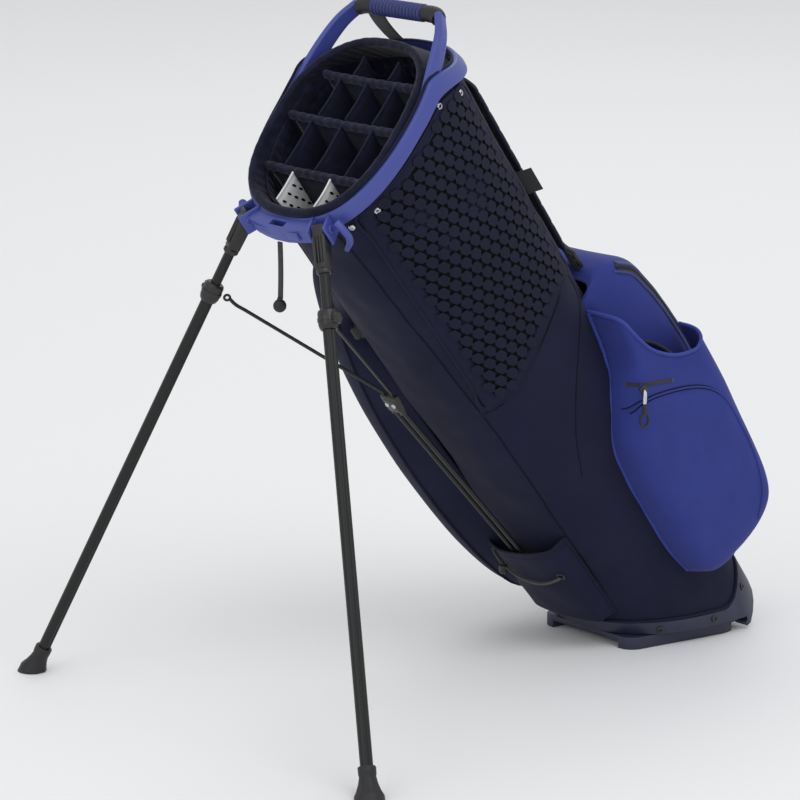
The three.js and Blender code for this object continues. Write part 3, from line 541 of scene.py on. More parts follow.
def bandOn(tree, points, width, lift, rows=4, pitch=4.0):
    # A flat band laid on a skin along a smooth line.
    rail = evenly(points, pitch)
    count = len(rail) - 1

    def place(u, v):
        centre, along = rail[min(round(u * count), count)]
        hit, normal, _, _ = tree.find_nearest(centre)
        side = normal.cross(along).normalized()
        across = hit + side * (v - 0.5) * width
        hit, normal, _, _ = tree.find_nearest(across)
        return hit + normal * lift

    return gridOf(count, rows, place)


# The tube's oval and the heights along it
tube = {
    "power": 0.8,
    "low": 90, "high": 850,
    "lowSize": (107, -104, 112), "highSize": (118, -146, 120),
    "collarSize": (120, -156, 123),
    "cuffSize": (115, -160, 80), "cuffRoot": (117, -153, 120),
    "trayRim": 34, "heelTop": 92, "heelFrom": 20,
}


def onOval(size, angle, offset, z):
    halfWidth, front, back = size
    c, s = cos(angle), sin(angle)
    ux, uy = copysign(abs(c) ** tube["power"], c), copysign(abs(s) ** tube["power"], s)
    middle, depth = (front + back) / 2, (back - front) / 2
    return Vector((ux * (halfWidth + offset), middle + uy * (depth + offset), z))


def tubeSize(z):
    t = (z - tube["low"]) / (tube["high"] - tube["low"])
    return tuple(a + (b - a) * t for a, b in zip(tube["lowSize"], tube["highSize"]))


def onTube(angle, offset, z):
    return onOval(tubeSize(z), angle, offset, z)


def tubeReach(y, z):
    # How far the tube stands out sideways at y.
    halfWidth, front, back = tubeSize(z)
    share = min(abs(y - (front + back) / 2) / ((back - front) / 2), 1)
    return halfWidth * (1 - share ** 2.5) ** 0.4


def collarLine(y):
    front, peakY = tube["collarSize"][1], 30
    rising = 830 + 54 * min((y - front) / (peakY - front), 1)
    drop = smoothStep(y, peakY, tube["collarSize"][2])
    return rising + (858 - rising) * drop


def cuffLine(y):
    return 888 + 0.2625 * (y + 40)


def trayLine(y):
    climb = smoothStep(y, tube["heelFrom"], tube["lowSize"][2])
    height = tube["trayRim"] + (tube["heelTop"] - tube["trayRim"]) * climb
    return (height - y * sin(lean)) / cos(lean)


def ruffle(point, size, seed=0.0):
    return noise.noise(Vector(point) / size + Vector((seed, seed * 0.7, seed * 1.3)))


# Elastic cord on the apron
bungee = {
    "radius": 1.8,
    "points": [(-70, -121.2, 234), (-60, -127, 226), (-46, -132, 219), (-30, -135.5, 214),
               (-12, -137.5, 211),
               (6, -138, 210), (22, -137, 211), (36, -134.5, 214), (48, -131, 218), (57, -128.2, 222)],
}


def addBungee():
    path = [bagFrame @ lineAt(bungee["points"], i / 36) for i in range(37)]
    length = sum((b - a).length for a, b in zip(path, path[1:]))
    mesh = barAlong([groundFrame.inverted() @ point for point in path], bungee["radius"], 10, 2)
    cord = addPiece("elastic_cord", mesh, "cordCover", "bungee_cord", place=groundFrame)
    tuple(path[0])
    print("elastic cord", round(length, 4), "m")


addBungee()

# Body shell
shell = {"columns": 240, "rows": 190, "wall": 1.6, "crease": 2.0}
seams = {
    "front": [(45, -130, 826), (50, -125, 768), (57, -119, 682), (63, -114, 591), (69, -108, 493)],
    "frontLow": [(69, -108, 493), (71, -102, 400), (71, -99, 301), (72, -96, 216), (67, -96, 150),
                 (62, -97, 116)],
    "padFoot": [(69, -108, 493), (93, -84, 499), (111, -37, 521), (114, 9, 538), (110, 46, 557),
                (98, 80, 590)],
    "rear": [(91, 89, 560), (95, 83, 528), (108, 52, 500), (113, 5, 452), (110, -32, 400), (104, -54, 340)],
    "spine": [(92, 92, 820), (93, 90, 760), (92, 90, 700), (91, 89, 640), (91, 89, 560)],
}


def shellPoint(u, v):
    angle = 2 * pi * u - pi / 2
    foot = onTube(angle, 0, tube["low"])
    low = trayLine(foot.y) - 12
    high = collarLine(onOval(tube["collarSize"], angle, 0, 0).y) + 8
    z = low + (high - low) * v
    point = onTube(angle, 0, z)
    away = Vector((point.x, point.y + 20, 0)).normalized()
    calm = smoothStep(z, low + 10, low + 70) * (1 - smoothStep(z, high - 70, high - 20))
    ripple = 1.5 * ruffle(point, 85) + 0.7 * ruffle(point, 34, 4.0)
    frontLow = bump(z, 230, 110) * (1 if point.y < 20 else 0.4)
    folds = 1.6 * frontLow * sin((z * 0.55 + point.x * 0.9) / 17 + 2.2 * ruffle(point, 120, 2.0))
    pull = 1.5 * bump(z, 560, 60) * sin((point.y + z * 0.25) / 13)
    pull = pull * smoothStep(point.y, 20, 90) * (point.x > 0)
    return point + away * (shell["crease"] * (ripple + 0.6 * folds + pull) * calm - 0.4)


def addShell():
    mesh = gridOf(shell["columns"], shell["rows"], shellPoint, closed=True)
    tree = BVHTree.FromBMesh(mesh)
    addPiece("body_shell", mesh, "navyCloth", ["front_panel", "right_panel", "spine_panel", "left_panel"],
             wall=shell["wall"])
    welts, threads = [], []
    for points in seams.values():
        for side in (1, -1):
            mirrored = [(side * x, y, z) for x, y, z in points]
            places = [place for place, _ in evenly(mirrored, 12)]
            welts.append(barAlong(pressOn(tree, places, -0.1), 0.8, 6, 3))
            for shift in (-3.2, 3.2):
                row = [(x + side * shift * 0.5, y, z + shift * 0.4) for x, y, z in mirrored]
                threads.append(stitchRow(tree, row, 4.6))
    addPiece("shell_seams", merge(welts), "seamThread")
    addPiece("shell_stitches", merge(threads), "navyPad")
    return tree


shellTree = addShell()
print("body shell")

# Hexagon pads
hexPad = {"cell": 10.6, "height": 2.6, "fromAngle": -50, "toAngle": 42, "slit": 2.2,
          "border": (0.17, 0.085),
          "squeeze": (0.835, 0.915), "shoulder": 0.9, "crown": 2.2, "foot": 500, "footRise": 62,
          "tall": 380}


def hexPads():
    radius, pitchX = hexPad["cell"], hexPad["cell"] * 1.58
    pitchZ = hexPad["cell"] * 1.41
    reference = tubeSize(700)
    # Arc length round the tube for each angle, so that cells keep their size.
    arc, angles = [0.0], [radians(hexPad["fromAngle"])]
    while angles[-1] < radians(hexPad["toAngle"]):
        step = radians(0.5)
        there = onOval(reference, angles[-1] + step, 0, 0)
        arc.append(arc[-1] + (there - onOval(reference, angles[-1], 0, 0)).length)
        angles.append(angles[-1] + step)
    width = arc[-1]

    def angleAt(s):
        s = min(max(s, 0), width)
        low = max(i for i, value in enumerate(arc) if value <= s)
        high = min(low + 1, len(arc) - 1)
        span = arc[high] - arc[low] or 1
        return angles[low] + (angles[high] - angles[low]) * (s - arc[low]) / span

    def bounds(s):
        y = onOval(reference, angleAt(s), 0, 0).y
        # the pad's foot rises from its front tip to the rear
        return hexPad["foot"] + hexPad["footRise"] * smoothStep(y, -112, 60), collarLine(y) - 9

    def cellShape():
        cell = bmesh.new()
        bmesh.ops.create_circle(cell, cap_ends=True, radius=radius, segments=6)
        bmesh.ops.rotate(cell, cent=(0, 0, 0), matrix=Matrix.Rotation(radians(30), 3, "Z"),
                         verts=cell.verts)
        bmesh.ops.scale(cell, vec=(*hexPad["squeeze"], 1), verts=cell.verts)
        bmesh.ops.inset_region(cell, faces=cell.faces[:], thickness=hexPad["shoulder"],
                               depth=hexPad["height"] * 0.8)
        flat = [face for face in cell.faces if len(face.verts) == 6]
        bmesh.ops.inset_region(cell, faces=flat, thickness=hexPad["crown"], depth=hexPad["height"] * 0.35)
        # the slit side of a cell is cut back, so that the near-black backing, painted shade between the
        # cells, shows
        for vertex in cell.verts:
            if vertex.co.x + vertex.co.y * 0.9 < -radius * 0.62:
                vertex.co.x += hexPad["slit"]
                vertex.co.y += hexPad["slit"] * 0.7
        return cell

    parts = []
    rows = int(hexPad["tall"] / pitchZ)
    for row in range(rows):
        for column in range(int(width / pitchX) + 2):
            s = column * pitchX + (row % 2) * pitchX / 2
            z = hexPad["foot"] + row * pitchZ
            if s > width - radius * 0.9 or s < radius * 0.9:
                continue
            low, high = bounds(s)
            if z < low + radius * 0.7 or z > high - radius * 0.9:
                continue
            parts.append(moved(cellShape(), Matrix.Translation((s, z, 0))))
    flat = merge(parts)
    for vertex in flat.verts:
        s, z, lift = vertex.co
        point = onTube(angleAt(s), 0, z)
        normal = Vector((point.x / 118 ** 2, (point.y + 13) / 133 ** 2, 0)).normalized()
        vertex.co = point + normal * (lift + 0.5)
    bmesh.ops.recalc_face_normals(flat, faces=flat.faces)

    def shadeBacking(u, v):
        low, high = bounds(u * width)
        return onTube(angleAt(u * width), 0.9, low + (high - low) * v)

    back = gridOf(60, 60, shadeBacking)
    rim = [shadeBacking(i / 12, 0) for i in range(13)] + [shadeBacking(1, i / 8) for i in range(1, 9)]
    rim += [shadeBacking(1 - i / 12, 1) for i in range(1, 13)] + [shadeBacking(0, 1 - i / 8) for i in range(1, 8)]

    def borderPoint(u, v):
        # Round the pad's edge, then in over the backing.
        turn = (u * 4) % 4
        side, along = int(turn), turn - int(turn)
        a, b = ((along, 0), (1, along), (1 - along, 1), (0, 1 - along))[side]
        a = 0.5 + (a - 0.5) * (1 - hexPad["border"][0] * v)
        b = 0.5 + (b - 0.5) * (1 - hexPad["border"][1] * v)
        point = shadeBacking(a, b)
        return point + Vector((point.x, point.y + 13, 0)).normalized() * (1.2 - 0.5 * v)

    border = gridOf(200, 3, borderPoint, closed=True)
    return flat, back, rim, border


def addHexPads():
    for name, side in (("right", 1), ("left", -1)):
        cells, back, rim, border = hexPads()
        binding = barAlong(rim, 1.9, 8, 4, cyclic=True)
        for mesh in (cells, back, binding, border):
            if side < 0:
                bmesh.ops.scale(mesh, vec=(-1, 1, 1), verts=mesh.verts)
                bmesh.ops.reverse_faces(mesh, faces=mesh.faces)
        addPiece(f"hex_cells_{name}", cells, "navyPad", f"mesh_panel_{name}", sharp=70)
        # the backing sheet is painted near-black as the shade in the gaps between the cells
        addPiece(f"hex_shade_backing_{name}", back, "shadeBacking", wall=0.6)
        faceOut(border, Vector((0, 0, 700)))
        addPiece(f"hex_border_{name}", border, "navyCloth", wall=0.6)
        addPiece(f"hex_binding_{name}", binding, "navyPad")


addHexPads()
print("hexagon pads")

# Collar, bracket and handle
collar = {
    "height": 20, "segments": 180,
    "profile": [(-2, 0), (5.5, 0), (8, 0.08), (8.2, 0.34), (5.2, 0.9), (3.8, 1), (-2, 1)],
    "armRoute": [(116, -38, 862), (117, 8, 884), (107, 52, 906), (93, 92, 923), (74, 117, 932)],
    "armWidth": 24, "armDepth": 9, "bracketHalf": 55, "slotHalf": 13,
}


def closedLoop(profile, share):
    return profile[round(share * len(profile)) % len(profile)]


def collarPoint(u, v):
    offset, t = closedLoop(collar["profile"], v)
    point = onOval(tube["collarSize"], 2 * pi * u, offset, 0)
    broad = 1 + 0.22 * bump(point.y, 40, 34)  # the ring is deeper where the handle leaves it
    point.z = collarLine(point.y) + t * collar["height"] * broad
    return point


def armSweep(route, width, depth, steps=26):
    # A flat bar with chamfered edges along a route, its broad side facing out.
    half, flat, chamfer = width / 2, depth / 2, 2.4
    section = [(-half, -flat + chamfer), (-half + chamfer, -flat), (half - chamfer, -flat),
               (half, -flat + chamfer),
               (half, flat - chamfer), (half - 5, flat), (-half + 5, flat), (-half, flat - chamfer)]

    def place(u, v):
        centre = lineAt(route, u)
        along = (lineAt(route, min(u + 0.02, 1)) - lineAt(route, max(u - 0.02, 0))).normalized()
        out = Vector((centre.x, 0.5 * (centre.y - 10), 0)).normalized()
        out = (out - along * out.dot(along)).normalized()
        side = along.cross(out)
        narrow = (0.35 + 0.65 * smoothStep(u, 0, 0.3)) * (1 - 0.22 * smoothStep(u, 0.3, 1))
        across, away = closedLoop(section, v)
        return centre + side * across * narrow + out * away

    mesh = gridOf(steps, len(section), place, closed=True)
    closeEnds(mesh)
    return mesh


def addCollar():
    ring = gridOf(collar["segments"], len(collar["profile"]), collarPoint, closed=True)
    bmesh.ops.recalc_face_normals(ring, faces=ring.faces)
    addPiece("collar_ring", ring, "bluePlastic", "top_collar", sharp=28, rounding=0.7)

    half, slot = collar["bracketHalf"], collar["slotHalf"]
    cuts = [(0, x) for x in (-44, -30, -slot, slot, 30, 44)] + [(1, -174), (1, -166)]
    block = blockOf((-half, -178, 829), (half, -154, 849), 0, 1, cuts)
    floorFaces = [face for face in block.faces if face.normal.z > 0.9
                  and abs(face.calc_center_median().x) < slot and -174 < face.calc_center_median().y < -166]
    pressed = bmesh.ops.extrude_face_region(block, geom=floorFaces)
    sunk = [item for item in pressed["geom"] if isinstance(item, bmesh.types.BMVert)]
    bmesh.ops.delete(block, geom=floorFaces, context="FACES_ONLY")
    bmesh.ops.translate(block, vec=(0, 0, -13), verts=sunk)
    for vertex in block.verts:
        bowed = 7 * (abs(vertex.co.x) / half) ** 2
        vertex.co.y += bowed
        vertex.co.z += 2.5 * (1 - abs(vertex.co.x) / half) * (vertex.co.z < 835) * -1
    bmesh.ops.recalc_face_normals(block, faces=block.faces)
    parts = [block]
    for x in (-28, 28):  # pads between the bracket's ribs
        parts.append(blockOf((x - 11, -177.6, 833), (x + 11, -170, 845), 1.2))
    addPiece("leg_bracket", merge(parts), "bluePlastic", sharp=30, rounding=1.0)

    lugs = []
    for side in (-1, 1):
        hinge = joints["leg_fold_right" if side > 0 else "leg_fold_left"]
        centre = bagFrame.inverted() @ Vector(hinge["pos_m"])
        axis = (bagFrame.to_3x3().inverted() @ Vector(hinge["axis"])).normalized()
        turn = Matrix.Rotation(atan2(axis.y, axis.x), 4, "Z")
        for low in (-12.8, 9.3):
            cheek = blockOf((low, -10, -16), (low + 3.5, 20, 11), 1.5, 3)
            lugs.append(moved(cheek, Matrix.Translation(centre) @ turn))
        for low in (-15.2, 12.8):
            cap = lathe([(0, 0), (5.2, 0), (5.2, 1.6), (4.2, 2.4), (2.2, 2.4), (2.0, 1.4), (0, 1.4)], 20)
            cap = moved(cap, Matrix.Rotation(pi / 2, 4, "Y") @ Matrix.Translation((0, 0, low)))
            lugs.append(moved(cap, Matrix.Translation(centre) @ turn))
        hookRoute = [(side * 88, -150, 848), (side * 95, -151, 838), (side * 98, -152, 824),
                     (side * 90, -158, 812)]
        lugs.append(barAlong(hookRoute, 4.2, 10, 6, radii=[1.2, 1.1, 1.0, 0.7]))
    addPiece("leg_lugs", merge(lugs), "bluePlastic", sharp=35)

    arms = []
    for side in (-1, 1):
        route = [(side * x, y, z) for x, y, z in collar["armRoute"]]
        arms.append(armSweep(route, collar["armWidth"], collar["armDepth"]))
    addPiece("handle_arms", merge(arms), "bluePlastic", sharp=28, rounding=0.8)


addCollar()

grip = {"y": 118, "z": 932, "half": 46, "ribs": 15, "radius": 10.8, "groove": 3.2}


def addGrip():
    turn = Matrix.Translation((0, grip["y"], grip["z"])) @ Matrix.Rotation(pi / 2, 4, "Y")
    profile, pitch = [(6.3, -grip["half"])], 2 * grip["half"] / grip["ribs"]
    for i in range(grip["ribs"]):
        start = -grip["half"] + i * pitch
        deep, full = grip["radius"] - grip["groove"], grip["radius"]
        profile += [(deep, start), (full - 0.5, start + 0.14 * pitch), (full, start + 0.28 * pitch),
                    (full, start + 0.55 * pitch), (full - 0.5, start + 0.7 * pitch),
                    (deep, start + 0.84 * pitch)]
    profile += [(grip["radius"] - grip["groove"], grip["half"]), (6.3, grip["half"]), (6.3, -grip["half"])]
    addPiece("ribbed_grip", lathe(profile, 36, turn), "blueRubber", "handle_grip", sharp=50)
    for name, side in (("right", 1), ("left", -1)):
        route = [(side * (grip["half"] + 0.6), 118, 932), (side * 56, 118, 932), (side * 66, 117, 931.5),
                 (side * 74, 113, 930.5)]
        sleeve = barAlong(route, 9.6, 20, 8, radii=[1.0, 1.06, 1.06, 0.96])
        stands = f"handle_sleeve_{name}"
        addPiece(f"rubber_sleeve_{name}", sleeve, "blackRubber", stands, rounding=0.5)
    # webbing from the grip down to the back of the collar
    rail = [(-52, 118, 924), (-51, 117.5, 908), (-48, 119, 890), (-45, 121, 878), (-42, 124, 866)]

    def place(u, v):
        centre = lineAt(rail, u)
        return centre + Vector(((v - 0.5) * 29, 0, 0))

    band = gridOf(24, 6, place)
    addPiece("handle_webbing", band, "webbing", wall=1.8, rounding=0.3)


addGrip()
print("collar and handle")

# Padded cuff and lining
cuff = {"segments": 288, "rows": 30, "ribs": 46, "ribDepth": 3.2, "thickness": 10.8, "liningFoot": 690}


def cuffPoint(u, v):
    # From the collar up the outside, over the rolled crest, and down the inner face.
    angle = 2 * pi * u
    root = onOval(tube["cuffRoot"], angle, 0, 0)
    root.z = collarLine(root.y) + 4
    crest = onOval(tube["cuffSize"], angle, 0, 0)
    crest.z = cuffLine(crest.y)
    inward = Vector((-root.x, 12 - root.y, 0)).normalized()
    roll = cuff["thickness"] / 2
    if v < 0.35:
        share = v / 0.35
        point = root.lerp(crest, share * 0.86) - inward * (1.3 * sin(pi * share))
        puff = 0.3
    elif v < 0.7:
        turn = (v - 0.35) / 0.35 * pi
        top = root.lerp(crest, 0.86)
        point = top + inward * roll * (1 - cos(turn)) + Vector((0, 0, 5.6 * sin(turn)))
        puff = 0.55 * sin(turn)
    else:
        share = (v - 0.7) / 0.3
        point = root.lerp(crest, 0.86 * (1 - share)) + inward * (2 * roll)
        puff = 0.55
    rib = abs(sin(cuff["ribs"] * angle / 2)) ** 0.6 - 0.5
    inner = smoothStep(v, 0.3, 0.55)
    pinch = 0.75 + 0.25 * sin(7.5 * pi * v + (int(cuff["ribs"] * u) % 2) * pi)
    crease = cuff["ribDepth"] * rib * pinch * inner + 0.9 * (1 - inner) * ruffle(point, 24, 3.0)
    return point + inward * -crease * puff + inward * 0.6 * ruffle(point, 40, 1.0)


def liningPoint(u, v):
    # The quilted lining below the cuff, on the inside of the tube.
    angle = -2 * pi * u
    top = onOval(tube["cuffRoot"], angle, -11.5, 0)
    top.z = collarLine(top.y) + 8
    low = onTube(angle, -6, cuff["liningFoot"])
    point = top.lerp(low, v)
    row = v * 9
    quilt = abs(sin(27 * angle + (int(row) % 2) * pi / 2)) ** 0.5 * abs(sin(pi * row)) ** 0.4
    inward = Vector((-point.x, -point.y, 0)).normalized()
    return point + inward * 2.2 * quilt


def addCuff():
    mesh = gridOf(cuff["segments"], cuff["rows"], cuffPoint, closed=True)
    cuffPad = addPiece("padded_cuff", mesh, "velour", "cuff_pad", sharp=80, wall=1.2)
    lining = gridOf(324, 90, liningPoint, closed=True)
    bmesh.ops.reverse_faces(lining, faces=lining.faces)
    addPiece("quilted_lining", lining, "velour", sharp=80, wall=0.8)
    # binding where the cuff enters the collar
    rim = []
    for i in range(48):
        point = onOval(tube["cuffRoot"], 2 * pi * i / 48, 2.2, 0)
        point.z = collarLine(point.y) + collar["height"] + 1.2 + 4.4 * bump(point.y, 40, 34)
        rim.append(point)
    addPiece("cuff_binding", barAlong(rim, 1.7, 8, 4, cyclic=True), "navyPad")


addCuff()

# Club dividers
dividers = {
    "bars": [("front", -95), ("middle", -26), ("back", 33)],
    "webs": [("front", [-35, 35]), ("second", [-56, 0, 56]), ("third", [-50, 0, 50]), ("back", [-32, 32])],
    "foot": 150, "drop": 9, "barThick": 9, "barHeight": 11,
}


def dividerTop(y):
    return cuffLine(y) - dividers["drop"]


def insideWidth(y, size, inset):
    halfWidth, front, back = size
    middle, depth = (front + back) / 2, (back - front) / 2 - inset
    share = min(abs(y - middle) / depth, 0.98)
    return (halfWidth - inset) * (1 - share ** 2.5) ** 0.4


def insideReach(x, size, inset, side):
    halfWidth, front, back = size
    middle, depth = (front + back) / 2, (back - front) / 2 - inset
    share = min(abs(x) / (halfWidth - inset), 0.98)
    return middle + side * depth * (1 - share ** 2.5) ** 0.4


def addBars():
    for name, y in dividers["bars"]:
        reach = min(insideWidth(y, tube["cuffSize"], 13.5), insideWidth(y, tube["cuffRoot"], 13.5))
        low = insideWidth(y, tubeSize(dividers["foot"]), 6)
        top = dividerTop(y)

        def padPoint(u, v, y=y, reach=reach, top=top):
            # a stuffed tube of cloth, flattened at its sides
            turn, x = 2 * pi * v, (2 * u - 1) * reach
            sag = -2.4 * (1 - (2 * u - 1) ** 2) + 0.8 * ruffle((x, y, top), 18, 5.0)
            tuck = 1 + 0.07 * sin(x / 2.6) + 0.10 * ruffle((x, turn * 8, y), 7, 6.0)
            across = dividers["barThick"] / 2 * copysign(abs(cos(turn)) ** 0.7, cos(turn)) * tuck
            up = dividers["barHeight"] / 2 * copysign(abs(sin(turn)) ** 0.8, sin(turn)) * tuck
            return Vector((x, y + across, top - dividers["barHeight"] / 2 + up + sag))

        pad = gridOf(110, 22, padPoint, closed=True, inside=Vector((0, y, top - 8)))
        closeEnds(pad)
        bar = addPiece(f"divider_pad_{name}", pad, "velour", f"divider_bar_{name}", sharp=80)

        def wallPoint(u, v, y=y, reach=reach, low=low, top=top):
            half = low + (reach - low) * v
            x = (2 * u - 1) * half
            z = dividers["foot"] + (top - 12 - dividers["foot"]) * v
            return Vector((x, y + 1.2 * ruffle((x, y, z), 60, 7.0), z))

        addPiece(f"divider_wall_{name}", gridOf(30, 60, wallPoint), "velour", wall=1.6)


def webEdges(row, x):
    i = [name for name, _ in dividers["webs"]].index(row)
    ys = [y for _, y in dividers["bars"]]
    clear = 3.9
    front = ys[i - 1] + clear if i else None
    back = ys[i] - clear if i < 3 else None
    return front, back


def addWebs():
    for row, places in dividers["webs"]:
        for j, x in enumerate(places):
            front, back = webEdges(row, x)

            def edgeAt(z, side, front=front, back=back, x=x):
                if side < 0 and front is not None:
                    return front
                if side > 0 and back is not None:
                    return back
                inner = insideReach(x, tubeSize(min(z, 840)), 6, side)
                root = insideReach(x, tube["cuffRoot"], 14.5, side)
                crest = insideReach(x, tube["cuffSize"], 15.5, side)
                share = smoothStep(z, 830, 880)
                neck = root + (crest - root) * share if z > 830 else inner
                return max(neck, inner) if side < 0 else min(neck, inner)

            def webPoint(u, v, x=x, edgeAt=edgeAt):
                topFront, topBack = edgeAt(900, -1), edgeAt(900, 1)
                topY = topFront + (topBack - topFront) * u
                topZ = dividerTop(topY) - 4 - 1.2 * sin(pi * u)
                z = dividers["foot"] + (topZ - dividers["foot"]) * v
                y = edgeAt(z, -1) + (edgeAt(z, 1) - edgeAt(z, -1)) * u
                wave = 1.1 * sin(pi * u) * ruffle((x, y, z), 50, 8.0)
                return Vector((x + wave, y, z))

            white = row == "front"
            sheet = gridOf(24, 70, webPoint, inside=Vector((x - 50, 0, 500)))
            stands = f"divider_web_{row}_{j + 1}"
            surface, slotName = ("whiteMesh", "white_mesh") if white else ("velour", "velour")
            addPiece(f"web_{row}_{j + 1}", sheet, surface, stands, wall=1.2)
            edge = [webPoint(i / 8, 1) + Vector((0, 0, 0.6)) for i in range(9)]
            lip = "whiteMesh" if white else "navyPad"
            addPiece(f"web_edge_{row}_{j + 1}", barAlong(edge, 1.5, 8, 3), lip)
            if white:
                # dark ellipses on the white mesh are painted shade standing for its openings
                holes = []
                for k in range(7):
                    for m in range(3):
                        u, v = 0.18 + 0.3 * m + 0.13 * (k % 2), 0.985 - 0.016 * k
                        centre = webPoint(min(u, 0.93), v)
                        for lift in (-1.5, 0.35):
                            hole = bmesh.new()
                            bmesh.ops.create_circle(hole, cap_ends=True, radius=1, segments=12)
                            bmesh.ops.scale(hole, vec=(3.4, 1.5, 1), verts=hole.verts)
                            turn = Matrix.Rotation(pi / 2, 4, "Y") @ Matrix.Rotation(0.5, 4, "Z")
                            holes.append(moved(hole,
                                               Matrix.Translation(centre + Vector((lift, 0, 0))) @ turn))
                addPiece(f"web_slits_{j + 1}", merge(holes), "shadeBacking", wall=0.2)


addBars()
addWebs()
print("mouth and dividers")

# Pockets
rightPocket = {
    "front": [(6, 118), (0, 150), (-3, 200), (-4, 250), (-2, 300), (4, 342), (22, 374), (42, 400),
              (66, 436), (78, 496)],
    "rear": [(154, 136), (168, 180), (176, 250), (181, 310), (184, 378)],
    "low": [(6, 118), (24, 100), (48, 93), (80, 92), (112, 97), (138, 110), (154, 136)],
    "mouth": [(78, 496), (82, 484), (88, 452), (99, 422), (122, 393), (147, 377), (162, 374), (184, 378)],
    "outer": 157, "columns": 120, "rows": 110,
    "zipSeam": [(28, 380), (50, 384), (88, 364), (128, 334), (148, 304), (154, 262), (150, 202), (135, 154),
                (108, 123)],
    "zipLine": [(50, 408), (66, 397), (84, 384), (104, 368)],
    "bottle": (113, 106, 33), "sleeveFloor": 243,
}


def patchYZ(edges, s, t):
    # A patch that fills four edges in (y, z).
    front, rear = lineAt2(edges["front"], t), lineAt2(edges["rear"], t)
    low, mouth = lineAt2(edges["low"], s), lineAt2(edges["mouth"], s)
    corners = (lineAt2(edges["low"], 0), lineAt2(edges["low"], 1), lineAt2(edges["mouth"], 0),
               lineAt2(edges["mouth"], 1))
    across = front * (1 - s) + rear * s
    up = low * (1 - t) + mouth * t
    corner = (corners[0] * (1 - s) + corners[1] * s) * (1 - t) + (corners[2] * (1 - s) + corners[3] * s) * t
    return across + up - corner


def lineAt2(points, share):
    point = lineAt([(y, z, 0) for y, z in points], share)
    return Vector((point.x, point.y))


def ease(value):
    # Packs the grid's lines towards both ends, where a pocket turns over its edge.
    return 0.5 - 0.5 * cos(pi * value)


def sidePocketPoint(edges, u, v, wallOf, topTuck):
    s, t = ease(u), v ** 1.6 if topTuck < 1 else ease(v)
    y, z = patchYZ(edges, s, t)
    acrossFill = (1 - abs(2 * s - 1) ** 7) ** (1 / 2.6)
    lowFill = (1 - (1 - min(t / 0.5, 1)) ** 7) ** (1 / 2.6)
    topFill = 1.0 if topTuck < 1 else (1 - (1 - min((1 - t) / 0.5, 1)) ** 7) ** (1 / 2.6)
    crown = 0.93 + 0.07 * sin(pi * s) * sin(pi * min(t * 1.1, 1))
    wall = wallOf(y, z)
    fill = acrossFill * lowFill * topFill * crown
    fill *= 1 - (1 - topTuck) * smoothStep(t, 0.7, 1)
    x = wall + (edges["outer"] - wall) * fill
    soft = sin(pi * s) * sin(pi * t)
    x += soft * (1.4 * ruffle((0, y, z), 45, 9.0) + 0.7 * ruffle((0, y, z), 18, 10.0))
    return Vector((x, y, z))


def addRightPocket():
    edges = rightPocket

    def wallOf(y, z):
        return max(tubeReach(y, z) - 2, 93) if y < 60 else 93

    def place(u, v):
        return sidePocketPoint(edges, u, v, wallOf, 0.93)

    mesh = gridOf(edges["columns"], edges["rows"], place, inside=Vector((60, 80, 260)))
    tree = BVHTree.FromBMesh(mesh)
    addPiece("side_pocket_right", mesh, "blueCloth", "pocket_right", sharp=60, wall=2.2)

    def onFace(y, z, lift=0.0):
        hit = tree.ray_cast(Vector((260, y, z)), Vector((-1, 0, 0)))
        return hit[0] + hit[1] * lift if hit[0] else Vector((edges["outer"] - 6, y, z))

    mouth = [place(i / 16, 1) + Vector((0, 0, 0.5)) for i in range(17)]
    piping = [place(0, 1 - i / 10) + Vector((1.2, -1, 0)) for i in range(11)]
    piping += [place(i / 12, 0) + Vector((1.2, 0, -1)) for i in range(1, 13)]
    bound = merge([barAlong(mouth, 2.3, 8, 4), barAlong(piping, 2.4, 8, 4)])
    addPiece("pocket_piping", bound, "bluePiping")

    seam = [spot for spot, _ in evenly([(0, y, z) for y, z in edges["zipSeam"]], 4)]
    welt = barAlong([onFace(p.y, p.z, 0.2) for p in seam], 1.5, 8, 3)
    addPiece("pocket_welt", welt, "blueCloth")
    # dark bars beside the welt: painted shade standing for the grooves along the seam
    groove = merge([barAlong([onFace(p.y, p.z - 2.4, 0.25) for p in seam], 0.8, 6, 3),
                    barAlong([onFace(p.y, p.z + 2.6, 0.25) for p in seam[:40]], 0.7, 6, 3)])
    addPiece("pocket_groove_shade", groove, "seamThread")
    rows = [[(edges["outer"], y, z + shift) for y, z in edges["zipSeam"]] for shift in (-6, 6.5)]
    addPiece("pocket_stitches", merge([stitchRow(tree, row, 4.4) for row in rows]), "bluePiping")

    tape = bandOn(tree, [onFace(y, z) for y, z in edges["zipLine"]], 5, 0.5)
    addPiece("zip_tape", tape, "webbing", wall=0.6)

    # bottle sleeve
    x0, y0, radius = edges["bottle"]

    def sleevePoint(u, v):
        angle = 2 * pi * u
        x, y = x0 + radius * cos(angle), y0 + radius * 0.96 * sin(angle)
        inner = smoothStep(x0 - x, -radius * 0.6, radius)
        rim = 366 + 44 * smoothStep(104 - y, -20, 40) + 34 * inner
        z = edges["sleeveFloor"] + (rim - edges["sleeveFloor"]) * v
        return Vector((x + 1.2 * ruffle((x, y, z), 30, 12.0), y, z))

    sleeve = gridOf(64, 40, sleevePoint, closed=True, inside=Vector((x0, y0, 320)))
    bmesh.ops.holes_fill(sleeve, edges=[e for e in sleeve.edges if e.is_boundary and e.calc_length() > 0
                                        and max(v.co.z for v in e.verts) < edges["sleeveFloor"] + 1])
    bmesh.ops.reverse_faces(sleeve, faces=sleeve.faces)
    addPiece("bottle_sleeve", sleeve, "blueCloth", wall=1.2)
    rim = [sleevePoint(i / 24, 1) for i in range(24)]
    addPiece("bottle_rim", barAlong(rim, 2.0, 8, 4, cyclic=True), "webbing")


addRightPocket()

